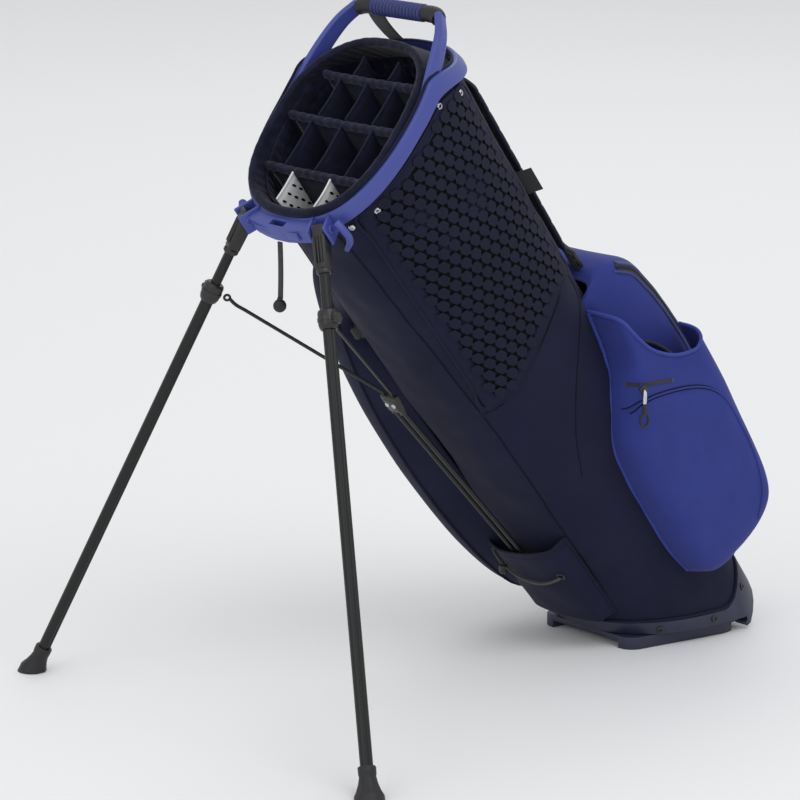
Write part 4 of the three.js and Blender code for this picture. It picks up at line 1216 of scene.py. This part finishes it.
backPocket = {
    "outline": [(104, 520), (124, 524), (150, 516), (172, 496), (184, 474), (197, 410), (201, 330),
                (200, 250),
                (188, 162), (168, 122), (140, 100), (108, 94)],
    "half": 92, "columns": 90, "rows": 130,
    "zipLine": [(150, 514), (176, 486), (188, 450), (198, 400), (201, 350), (201, 300)],
}


def backPocketPoint(u, v):
    edges = backPocket
    turn = pi * (1 - u)
    x = edges["half"] * copysign(abs(cos(turn)) ** (2 / 7), cos(turn))
    fill = abs(sin(turn)) ** (2 / 4.5)
    y, z = lineAt2(edges["outline"], v)
    z0 = min(max(z, 100), 512)
    root = insideReach(min(abs(x), 90), tubeSize(z0), 5, 1)
    soft = fill * sin(pi * v)
    puff = 1.6 * ruffle((x, y, z), 50, 14.0) + 0.8 * ruffle((x, y, z), 20, 15.0)
    reach = root + max(y - root, 0.5) * fill + soft * puff
    return Vector((x, reach, z0 + (z - z0) * fill))


def addBackPocket():
    mesh = gridOf(backPocket["columns"], backPocket["rows"], backPocketPoint, inside=Vector((0, 90, 300)))
    tree = BVHTree.FromBMesh(mesh)
    addPiece("back_pocket", mesh, "blueCloth", "pocket_back", sharp=60, wall=2.0)
    tapes, teeth, welts = [], [], []
    for side in (-1, 1):
        line = [(side * 96, y, z) for y, z in backPocket["zipLine"]]
        rail = [place for place, _ in evenly(line, 8)]
        tapes.append(bandOn(tree, pressOn(tree, rail), 19, 0.9, 4, 5.0))
        for place, along in evenly(pressOn(tree, rail, 1.6), 3.0):
            tooth = blockOf((-2.2, -0.9, -0.8), (2.2, 0.9, 0.8), 0.4, 1)
            _, normal, _, _ = tree.find_nearest(place)
            across = normal.cross(along).normalized()
            turn = Matrix((across, along, normal)).transposed().to_4x4()
            teeth.append(moved(tooth, Matrix.Translation(place) @ turn))
        for shift in (-12, 12):
            edge = [(side * 96, y + shift * 0.9, z + shift * 0.3) for y, z in backPocket["zipLine"]]
            welts.append(barAlong(pressOn(tree, [p for p, _ in evenly(edge, 10)], 0.2), 1.6, 8, 3))
    addPiece("back_zip_tape", merge(tapes), "webbing", wall=0.8)
    addPiece("back_zip_teeth", merge(teeth), "blackPlastic")
    addPiece("back_welts", merge(welts), "bluePiping")
    seam = [(x, 210, 470) for x in (-80, -40, 0, 40, 80)]
    low = [(x, 210, 150) for x in (-80, -40, 0, 40, 80)]
    rows = [stitchRow(tree, line, 4.6) for line in (seam, low)]
    addPiece("back_stitches", merge(rows), "bluePiping")
    # a low slip pocket's edge across the back
    lip = pressOn(tree, [(x, 215, 340 + 10 * (x / 80) ** 2) for x in range(-80, 81, 16)], 0.8)
    addPiece("slip_edge", barAlong(lip, 2.0, 8, 4), "webbing")


addBackPocket()

leftPocket = {
    "front": [(-70, 116), (-108, 150), (-134, 242), (-147, 360), (-149, 440), (-146, 510), (-134, 592),
              (-110, 668),
              (-84, 694)],
    "rear": [(66, 124), (84, 160), (89, 300), (88, 440), (84, 560), (70, 650), (52, 682)],
    "low": [(-70, 116), (-20, 106), (30, 106), (66, 124)],
    "mouth": [(-84, 694), (-30, 702), (20, 698), (52, 682)],
    "outer": 156, "columns": 110, "rows": 170,
    "zipLine": [(-118, 240), (-129, 360), (-131, 440), (-127, 520), (-114, 600), (-86, 664), (-40, 680),
                (10, 676)],
}


def addLeftPocket():
    def wallOf(y, z):
        return 95

    def place(u, v):
        point = sidePocketPoint(leftPocket, u, v, wallOf, 1.0)
        return Vector((-point.x, point.y, point.z))

    mesh = gridOf(leftPocket["columns"], leftPocket["rows"], place, inside=Vector((-60, -20, 400)))
    tree = BVHTree.FromBMesh(mesh)
    addPiece("side_pocket_left", mesh, "navyCloth", "pocket_left", sharp=60, wall=2.0)
    rail = [(-170, y, z) for y, z in leftPocket["zipLine"]]
    placed = pressOn(tree, [p for p, _ in evenly(rail, 10)])
    addPiece("left_zip_tape", bandOn(tree, placed, 15, 0.8, 4, 5.0), "webbing", wall=0.8)
    teeth = []
    for spot, along in evenly(pressOn(tree, placed, 1.4), 3.2):
        _, normal, _, _ = tree.find_nearest(spot)
        across = normal.cross(along).normalized()
        turn = Matrix((across, along, normal)).transposed().to_4x4()
        tooth = blockOf((-2.2, -0.9, -0.8), (2.2, 0.9, 0.8), 0.4, 1)
        teeth.append(moved(tooth, Matrix.Translation(spot) @ turn))
    addPiece("left_zip_teeth", merge(teeth), "blackPlastic")
    rows = [[(-170, y + shift, z) for y, z in leftPocket["zipLine"]] for shift in (11, 14.5)]
    addPiece("left_stitches", merge([stitchRow(tree, row, 4.6) for row in rows]), "navyPad")

    def gussetPoint(u, v):
        # Joins the pocket's front edge to the body.
        edge = place(0, v)
        angle = radians(-112 - 18 * bump(edge.z, 612, 45))
        return edge.lerp(onTube(angle, 0.4, edge.z), u) + Vector((0, -2.5 * sin(pi * u), 0))

    gusset = gridOf(16, 60, gussetPoint, inside=Vector((-60, 0, 400)))
    addPiece("left_pocket_gusset", gusset, "navyCloth", wall=1.6)
    rim = [place(0, i / 14) for i in range(15)] + [place(i / 8, 1) for i in range(1, 9)]
    addPiece("left_piping", barAlong(rim, 2.2, 8, 4), "navyPad")
    across = [(-170, y, 330 + 0.18 * y) for y in range(-130, 81, 30)]
    seamLine = barAlong(pressOn(tree, across, 0.1), 1.4, 8, 4)
    addPiece("left_pocket_seam", seamLine, "seamThread")


addLeftPocket()
print("pockets")

# Slider and pull of the right pocket
zipPull = {"x": 158.3, "y": 51, "z": 405}


def addZip():
    x, y, z = zipPull["x"], zipPull["y"], zipPull["z"]
    body = blockOf((x, y - 5, z - 8), (x + 3.6, y + 5, z + 4.5), 1.2, 3)
    bridge = barAlong([(x + 3, y, z + 3), (x + 5.4, y, z + 0.5), (x + 5.2, y, z - 3.5), (x + 3, y, z - 6)],
                      1.1, 8, 5)
    addPiece("slider_body", merge([body, bridge]), "blackPlastic", "zip_slider", body="zip_slider")
    top = Vector((x + 5.2, y, z))
    down = Vector(wallDown)
    strands = []
    for shift in (-1.3, 1.3):
        points = [top + Vector((0, shift * 0.2, 0)), top + down * 5 + Vector((0.4, shift, 0)),
                  top + down * 14 + Vector((0.2, shift * 1.3, 0)),
                  top + down * 21 + Vector((0, shift * 0.5, 0))]
        strands.append(barAlong(points, 1.15, 8, 6))
    addPiece("pull_cord", merge(strands), "whiteCord", "zip_pull", body="zip_pull")
    turn = turnTo(-down, top + down * 20)
    stem = lathe([(0, 2), (2.2, 2), (2.9, 0.5), (3.1, -4), (2.6, -9), (1.5, -12), (0, -12)], 16)
    bmesh.ops.scale(stem, vec=(0.8, 1, 1), verts=stem.verts)
    ring = []
    for i in range(16):
        angle = 2 * pi * i / 16
        ring.append((0, 6.4 * sin(angle), -18.5 + 8.0 * cos(angle)))
    loop = barAlong(ring, 1.7, 8, 4, cyclic=True)
    addPiece("pull_ring", moved(merge([stem, loop]), turn), "blackRubber", body="zip_pull")


addZip()

# Apron at the foot of the leg side
apron = {"top": 258, "slope": 0.16, "from": -128, "to": -56, "lowFront": -124, "highFront": -136}


def apronPoint(u, v):
    angle = radians(apron["from"] + (apron["to"] - apron["from"]) * u)

    def sizeAt(z):
        half, _, back = tubeSize(z)
        t = (z - tube["low"]) / (apron["top"] - tube["low"])
        return half + 6, apron["lowFront"] + (apron["highFront"] - apron["lowFront"]) * t, back

    spot = onOval(sizeAt(apron["top"]), angle, 0, 0)
    high = apron["top"] + apron["slope"] * spot.x
    low = trayLine(spot.y) + 1
    z = low + (high - low) * v
    point = onOval(sizeAt(z), angle, 0, z)
    away = Vector((point.x, point.y, 0)).normalized()
    edge = sin(pi * min(max(u, 0.02), 0.98))
    fold = 1.6 * ruffle(point, 40, 16.0) + 1.1 * sin((z + 0.6 * point.x) / 15) * bump(v, 0.45, 0.3)
    laid = point + away * (fold * edge * (1 - 0.6 * v))
    sewn = onTube(angle, 1.2, z)  # both ends are sewn down on the body
    return laid.lerp(sewn, 1 - smoothStep(min(u, 1 - u), 0, 0.09))


def addApron():
    mesh = gridOf(90, 60, apronPoint)
    tree = BVHTree.FromBMesh(mesh)
    addPiece("front_apron", mesh, "navyCloth", "rod_apron", sharp=60, wall=2.2)
    hem = [apronPoint(i / 14, 1) for i in range(15)]
    sides = [[apronPoint(u, i / 8) for i in range(9)] for u in (0, 1)]
    bars = [barAlong(hem, 1.8, 8, 4)] + [barAlong(side, 1.6, 8, 4) for side in sides]
    addPiece("apron_hem", merge(bars), "navyPad")
    line = [apronPoint(i / 14, 0.93) for i in range(15)]
    addPiece("apron_stitches", stitchRow(tree, line, 4.6), "navyPad")
    rings = []
    for end in (bungee["points"][0], bungee["points"][-1]):
        hit, normal, _, _ = tree.find_nearest(Vector(end))
        ring = lathe([(2.3, 0), (5.4, 0), (5.8, 0.8), (4.6, 1.6), (3.2, 1.6), (2.3, 0.8), (2.3, 0)], 24)
        rings.append(moved(ring, turnTo(normal, hit + normal * 0.2)))
    addPiece("apron_eyelets", merge(rings), "blackPlastic")
    toggle = lathe([(0, -6), (4, -6), (5.4, -4.6), (5.4, 2), (4.6, 4.6), (2.6, 6), (0, 6)], 20)
    addPiece("cord_toggle", moved(toggle, turnTo(wallDown, (-48, -135, 216))), "blackPlastic")


addApron()
print("apron and zips")

# Trim on the body: rivets, tag, rest, straps
trim = {
    "rivets": [(93, -98, 825), (117, 30, 874), (104, 73, 856), (67, -119, 818), (116, -45, 866)],
    "baseRivets": [(95, -60), (106, 3), (98, 62)],
    "tagAngle": 50, "tagHeight": 690,
}


def rivetShape(radius=4.2):
    return lathe([(0, 0.7), (radius * 0.42, 0.7), (radius * 0.5, 1.7), (radius * 0.8, 1.9), (radius, 1.0),
                  (radius, -0.4), (0, -0.4), (0, 0.7)], 20)


def addTrim():
    rivets = []
    for place in trim["rivets"]:
        for side in (1, -1):
            hit, normal, _, _ = shellTree.find_nearest(Vector((side * place[0], place[1], place[2])))
            rivets.append(moved(rivetShape(), turnTo(normal, hit + normal * 1.2)))
    addPiece("panel_rivets", merge(rivets), "steel")
    angle = radians(trim["tagAngle"])
    place = onTube(angle, 1.2, trim["tagHeight"])
    tag = blockOf((0, -0.8, -17), (20, 0.8, 17), 0.5, 2, [(0, 3), (0, 17), (2, -14), (2, 14)])
    turn = Matrix.Translation(place) @ Matrix.Rotation(radians(trim["tagAngle"] - 12), 4, "Z")
    addPiece("woven_tag", moved(tag, turn), "webbing", "side_tag")
    rest = onTube(radians(-122), 0, 612)
    out = Vector((-0.42, -0.9, 0)).normalized()
    profile = [(0, 9.6), (5.8, 9.4), (8.2, 7.6), (9, 5), (9.2, 1.5), (11.4, 0), (11.4, -2.5), (0, -2.5)]
    shape = moved(lathe(profile, 28), turnTo(out, rest + out * 1.0))
    addPiece("rubber_rest", shape, "blackRubber", "leg_rest")


addTrim()

strap = {"low": 560, "high": 828, "thick": 9, "right": (60, 83), "left": (97, 120)}


def strapPoint(side, u, v):
    # A closed padded band: v goes round its section, u up the bag.
    first, last = strap[side]
    z = strap["low"] + (strap["high"] - strap["low"]) * u
    turn = 2 * pi * v
    across = copysign(abs(cos(turn)) ** 0.75, cos(turn))
    lift = copysign(abs(sin(turn)) ** 0.85, sin(turn))
    angle = radians((first + last) / 2 + across * (last - first) / 2)
    ends = min(u, 1 - u) / 0.03
    plump = min(1, max(ends, 0.15)) ** 0.5
    quilt = 1 - 0.22 * bump((u * 9) % 1, 0.5, 0.09)
    offset = 0.6 + strap["thick"] / 2 * (1 + lift * plump * quilt)
    if lift < 0:
        offset = max(0.6 + strap["thick"] / 2 * (1 + lift * plump), 0.6)
    return onTube(angle, offset, z)


def addStraps():
    for side in ("right", "left"):
        def place(u, v, side=side):
            return strapPoint(side, u, v)

        pad = gridOf(140, 26, place, closed=True, inside=onTube(radians(sum(strap[side]) / 2), 5, 700))
        closeEnds(pad)
        piece = addPiece(f"strap_pad_{side}", pad, "navyPad", f"shoulder_strap_{side}", sharp=80)
        middle = radians(sum(strap[side]) / 2)
        spots = [onTube(middle, 3 + 6.8 * bump(i / 10, 0.5, 0.9), 560 - 50 + i * 5) for i in range(11)]
        across = Vector((sin(middle), -cos(middle), 0))

        def bandPoint(u, v, spots=spots, across=across):
            return lineAt(spots, u) + across * (v - 0.5) * 24

        addPiece(f"strap_webbing_{side}", gridOf(20, 5, bandPoint), "webbing", wall=1.4)
        centre = spots[6]
        frameParts = [blockOf((-15, -2.2, z - 1.8), (15, 2.2, z + 1.8), 1.0, 2) for z in (-11, 0, 11)]
        frameParts += [blockOf((x - 2, -2.4, -12.5), (x + 2, 2.4, 12.5), 1.2, 2) for x in (-14.5, 14.5)]
        away = Vector((cos(middle), sin(middle), 0))
        turn = Matrix.Translation(centre + away * 3.4) @ Matrix.Rotation(middle - pi / 2, 4, "Z")
        addPiece(f"strap_buckle_{side}", moved(merge(frameParts), turn), "blackPlastic")


addStraps()
print("straps and trim")

# Hanging strap with a ball
hang = {"top": (-8, -177, 824), "length": 68}


def addHangStrap():
    top = Vector(hang["top"])
    down = Vector(wallDown)
    side = Vector((1, 0, 0))

    def bandPoint(u, v):
        curl = 1.0 * sin(pi * u)
        return top + down * hang["length"] * u + side * ((v - 0.5) * 8.6 + curl) + side.cross(down) * 0.4

    band = gridOf(24, 4, bandPoint)
    addPiece("hanging_band", band, "webbing", "hang_strap", body="hang_strap", wall=1.3, rounding=0.2)
    centre = top + down * (hang["length"] + 8.3)
    ball = lathe([(0, 8), (3, 7.7), (5.8, 5.6), (7.6, 2.4), (7.9, 0), (7.4, -3.2), (5.2, -6.1), (2.6, -7.6),
                  (0, -8)], 28)
    knob = [moved(ball, turnTo(-down, centre))]
    knob.append(moved(lathe([(0, 10), (2.6, 10), (3.2, 9), (3.2, 7), (0, 7)], 18), turnTo(-down, centre)))
    addPiece("strap_ball", merge(knob), "blackRubber", "hang_strap_ball", body="hang_strap")


addHangStrap()

# Legs
leg = {"length": 661, "clamp": 105, "clampHeight": 24, "upper": 6.2, "lower": 7.5, "clampRadius": 12}


def legFrameOf(name):
    joint = joints[f"leg_fold_{name}"]
    hinge = Vector(joint["pos_m"])
    axis = Vector(joint["axis"]).normalized()
    low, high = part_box(f"leg_foot_{name}")
    foot = Vector(((low.x + high.x) / 2, (low.y + high.y) / 2, low.z))
    along = (hinge - foot).normalized()
    across = (axis - along * axis.dot(along)).normalized()
    turn = Matrix((across, along.cross(across), along)).transposed().to_4x4()
    return Matrix.Translation(hinge) @ turn @ Matrix.Scale(millimetre, 4)


def flutedTube(low, high, radius, flutes, depth):
    def place(u, v):
        angle = 2 * pi * u
        cut = sum(bump((angle - flute + pi) % (2 * pi) - pi, 0, 0.2) for flute in flutes)
        reach = radius - depth * cut
        return Vector((reach * cos(angle), reach * sin(angle), low + (high - low) * v))

    mesh = gridOf(72, 6, place, closed=True, inside=Vector((0, 0, (low + high) / 2)))
    closeEnds(mesh)
    return mesh


def addLeg(name):
    place = legFrameOf(name)
    body = f"leg_{name}"
    side = 1 if name == "right" else -1
    housing = blockOf((-9, -9.5, -46), (9, 9.5, 8), 3.2, 4)
    for vertex in housing.verts:
        taper = smoothStep(-vertex.co.z, 10, 46)
        vertex.co.x *= 1 - 0.10 * taper
        vertex.co.y *= 1 - 0.16 * taper
    lip = lathe([(6.4, -45), (8.8, -45), (9.3, -46.5), (9.3, -49), (8.2, -50.5), (6.4, -50.5), (6.4, -45)],
                28)
    ribs = [blockOf((x - 0.9, -10.3, -38), (x + 0.9, -8.6, -6), 0.5, 2) for x in (-4, 0, 4)]
    addPiece(f"knuckle_housing_{name}", merge([housing, lip] + ribs), "blackPlastic", f"leg_knuckle_{name}",
             body=body, place=place, sharp=35)
    upper = flutedTube(-(leg["clamp"] - 1), -19, leg["upper"], [pi / 2, -pi / 2], 0.8)
    addPiece(f"upper_leg_{name}", upper, "legMetal", f"leg_upper_tube_{name}", body=body, place=place,
             sharp=60)
    flutes = [side * -0.5, side * -0.5 + pi, side * -0.5 + pi / 2]
    lower = flutedTube(-(leg["length"] - 20), -leg["clamp"], leg["lower"], flutes, 1.3)
    addPiece(f"lower_leg_{name}", lower, "legMetal", f"leg_tube_{name}", body=body, place=place, sharp=60)

    top = -(leg["clamp"] - leg["clampHeight"] / 2)
    r, low = leg["clampRadius"], top - leg["clampHeight"]
    ring = lathe([(6.5, top), (r - 3, top), (r - 0.8, top - 1.6), (r, top - 4), (r, low + 6),
                  (r - 1.2, low + 2),
                  (r - 2.4, low), (7.9, low), (7.9, low + 10), (6.5, top - 10), (6.5, top)], 36)
    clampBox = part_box(f"wire_clamp_{name}")
    inner = place.inverted()
    centre = inner @ ((clampBox[0] + clampBox[1]) / 2)
    reach = Vector((centre.x, centre.y, 0))
    ear = reach.normalized() if reach.length > 0.2 else Vector((1, 0, 0))
    middle = ear * (r + 0.2) + Vector((0, 0, -leg["clamp"]))
    turn = Matrix.Rotation(atan2(ear.y, ear.x), 4, "Z")
    ears = [moved(blockOf((-3.4, -6.4, -6.8), (3.4, 6.4, 6.8), 1.8, 3), Matrix.Translation(middle) @ turn)]
    screwAxis = Vector((-ear.y, ear.x, 0))
    for shift in (-1, 1):
        screw = lathe([(0, 0.4), (1.4, 0.4), (1.6, 1.2), (3.1, 1.2), (3.4, 0.2), (3.4, -1), (0, -1)], 20)
        spot = ear * (r + 0.2) + screwAxis * shift * 6.6 + Vector((0, 0, -leg["clamp"]))
        ears.append(moved(screw, turnTo(screwAxis * shift, spot)))
    band = lathe([(r, -leg["clamp"] - 2), (r + 0.7, -leg["clamp"] - 2), (r + 0.7, -leg["clamp"] + 2),
                  (r, -leg["clamp"] + 2)], 36)
    addPiece(f"clamp_body_{name}", merge([ring, band] + ears), "blackPlastic", f"wire_clamp_{name}",
             body=body, place=place, sharp=35)

    footTop = -(leg["length"] - 38)
    profile = [(7.7, footTop), (9.6, footTop), (10.6, footTop - 1.5), (10.4, footTop - 9),
               (9.8, footTop - 12),
               (11.5, footTop - 20), (14.2, footTop - 28), (16.6, footTop - 32), (17.4, footTop - 34),
               (18.0, footTop - 60), (7.7, footTop - 60), (7.7, footTop)]
    foot = lathe(profile, 40)
    for vertex in foot.verts:  # shallow ribs round the cone
        angle = atan2(vertex.co.y, vertex.co.x)
        share = smoothStep(-vertex.co.z, -footTop + 12, -footTop + 30)
        share = share * (1 - smoothStep(-vertex.co.z, -footTop + 31, -footTop + 33))
        scale = 1 + 0.04 * share * cos(8 * angle)
        vertex.co.x *= scale
        vertex.co.y *= scale
    inverse = place.inverted()
    planePoint = inverse @ Vector((0, 0, 0.0003))
    planeNormal = (inverse.to_3x3() @ Vector((0, 0, 1))).normalized()
    geom = foot.verts[:] + foot.edges[:] + foot.faces[:]
    bmesh.ops.bisect_plane(foot, geom=geom, plane_co=planePoint, plane_no=-planeNormal, clear_outer=True)
    closeEnds(foot)
    addPiece(f"rubber_foot_{name}", foot, "blackRubber", f"leg_foot_{name}", body=body, place=place,
             sharp=40)


for legName in ("right", "left"):
    addLeg(legName)
print("legs")

# Leg spreader
spreader = {"joiner": (0, -166, 551), "size": (30, 9, 26), "wire": 2.2, "rod": 3.0, "spacing": 8,
            "rodFoot": 215,
            "rodLean": 0.132}


def addSpreader():
    _, cy, cz = spreader["joiner"]
    sx, sy, sz = (value / 2 for value in spreader["size"])
    for name, side in (("right", 1), ("left", -1)):
        hinge = bagFrame.inverted() @ Vector(joints[f"leg_fold_{name}"]["pos_m"])
        low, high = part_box(f"leg_foot_{name}")
        foot = bagFrame.inverted() @ Vector(((low.x + high.x) / 2, (low.y + high.y) / 2, low.z))
        along = (foot - hinge).normalized()
        clamp = hinge + along * leg["clamp"]
        start = Vector((side * 9, cy, cz + sz + spreader["wire"]))
        way = start - clamp
        ear = (way - along * way.dot(along)).normalized()
        end = clamp + ear * 23
        knee = end + ear * 9 + along * 4
        points = [start, start.lerp(knee, 0.5), start.lerp(knee, 0.93), knee, end]
        wire = barAlong(points, spreader["wire"], 12, 10)
        eye = []
        for i in range(12):
            angle = 2 * pi * i / 12
            eye.append(end + ear * (3.4 * cos(angle) - 3.0) + along * 3.4 * sin(angle))
        hook = barAlong(eye, 1.6, 8, 4, cyclic=True)
        addPiece(f"bent_wire_{name}", merge([wire, hook]), "blackWire", f"spreader_wire_{name}",
                 body=f"wire_{name}")
        headZ = cz - sz - 0.6
        tail = Vector((side * spreader["spacing"], cy + spreader["rodLean"] * (headZ - spreader["rodFoot"]),
                       spreader["rodFoot"]))
        head = Vector((side * spreader["spacing"], cy, headZ))
        rodShape = barAlong([tail, tail.lerp(head, 0.5), head], spreader["rod"], 16, 4)
        addPiece(f"slide_rod_{name}", rodShape, "blackWire", f"push_rod_{name}", body="spreader")
    plate = blockOf((-sx, cy - sy, cz - sz), (sx, cy + sy, cz + sz), 2.6, 4)
    for vertex in plate.verts:
        vertex.co.x *= 1 - 0.16 * smoothStep(cz - vertex.co.z, -sz, sz)
    parts = [plate, blockOf((-11, cy - sy - 1.0, cz - 9), (11, cy - sy + 2, cz + 9), 1.4, 3)]
    for side in (-1, 1):
        parts.append(moved(lathe([(2.9, 0), (4.2, 0), (4.4, -5), (2.9, -5), (2.9, 0)], 20),
                           Matrix.Translation((side * spreader["spacing"], cy, cz - sz + 2))))
    addPiece("joiner_plate", merge(parts), "blackPlastic", "spreader_joiner", body="spreader", sharp=35)
    screws = []
    for side in (-1, 1):
        screw = lathe([(0, 0.5), (1.3, 0.5), (1.6, 1.4), (2.9, 1.4), (3.3, 0.2), (3.3, -1), (0, -1)], 20)
        screws.append(moved(screw, turnTo((0, -1, 0), (side * 6, cy - sy - 1.0, cz + 1))))
    addPiece("joiner_screws", merge(screws), "steel", body="spreader")


addSpreader()
print("spreader")

# Base
baseRims = {"refineAngle": 4, "bevel": 1.6}


def refinedCopy(node, bevel):
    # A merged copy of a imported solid, its flat faces joined and its edges rounded.
    mesh = bmesh.new()
    mesh.from_mesh(frame["nodes"][node].data)
    bmesh.ops.remove_doubles(mesh, verts=mesh.verts, dist=1e-5)
    bmesh.ops.dissolve_limit(mesh, angle_limit=radians(baseRims["refineAngle"]), verts=mesh.verts,
                             edges=mesh.edges,
                             use_dissolve_boundaries=False, delimit={"NORMAL"})
    bmesh.ops.transform(mesh, matrix=groundFrame.inverted(), verts=mesh.verts)
    mesh.normal_update()
    edges = [edge for edge in mesh.edges
             if len(edge.link_faces) == 2 and edge.calc_face_angle(0) > radians(32)]
    bmesh.ops.bevel(mesh, geom=edges, offset=bevel, segments=2, profile=0.5, affect="EDGES", material=-1,
                    clamp_overlap=True)
    return mesh


def addBase():
    addPiece("base_shell", refinedCopy("base_tray", 1.0), "basePlastic", "base_tray", place=groundFrame,
             sharp=30)
    addPiece("base_skids", refinedCopy("foot_plate", baseRims["bevel"]), "basePlastic", "foot_plate",
             body="base", place=groundFrame, sharp=30)
    rivets = []
    for x, y in trim["baseRivets"]:
        for side in (1, -1):
            spot = Vector((side * x, y, trayLine(y) - 9))
            away = Vector((side * x / 107 ** 2, (y - 4) / 108 ** 2, 0)).normalized()
            reach = onTube(atan2(y - 4, side * x), 3.1, spot.z)
            rivets.append(moved(rivetShape(4.6), turnTo(away, Vector((reach.x, reach.y, spot.z)))))
    addPiece("base_rivets", merge(rivets), "blackPlastic")
    # a bound seam where the cloth meets the base
    rim = []
    for i in range(60):
        angle = 2 * pi * i / 60
        spot = onTube(angle, 1.2, tube["low"])
        spot.z = trayLine(spot.y) + 2.2
        fixed = onTube(angle, 1.2, spot.z)
        rim.append(fixed)
    addPiece("base_binding", barAlong(rim, 2.0, 8, 3, cyclic=True), "navyPad")


addBase()

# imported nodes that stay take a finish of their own
for nodeName in ("base_hinge_pin", "stay_right", "stay_left", "leg_pin_right", "leg_pin_left"):
    data = frame["nodes"][nodeName].data
    data.materials.clear()
    data.materials.append(finish["steel"])
print("base")
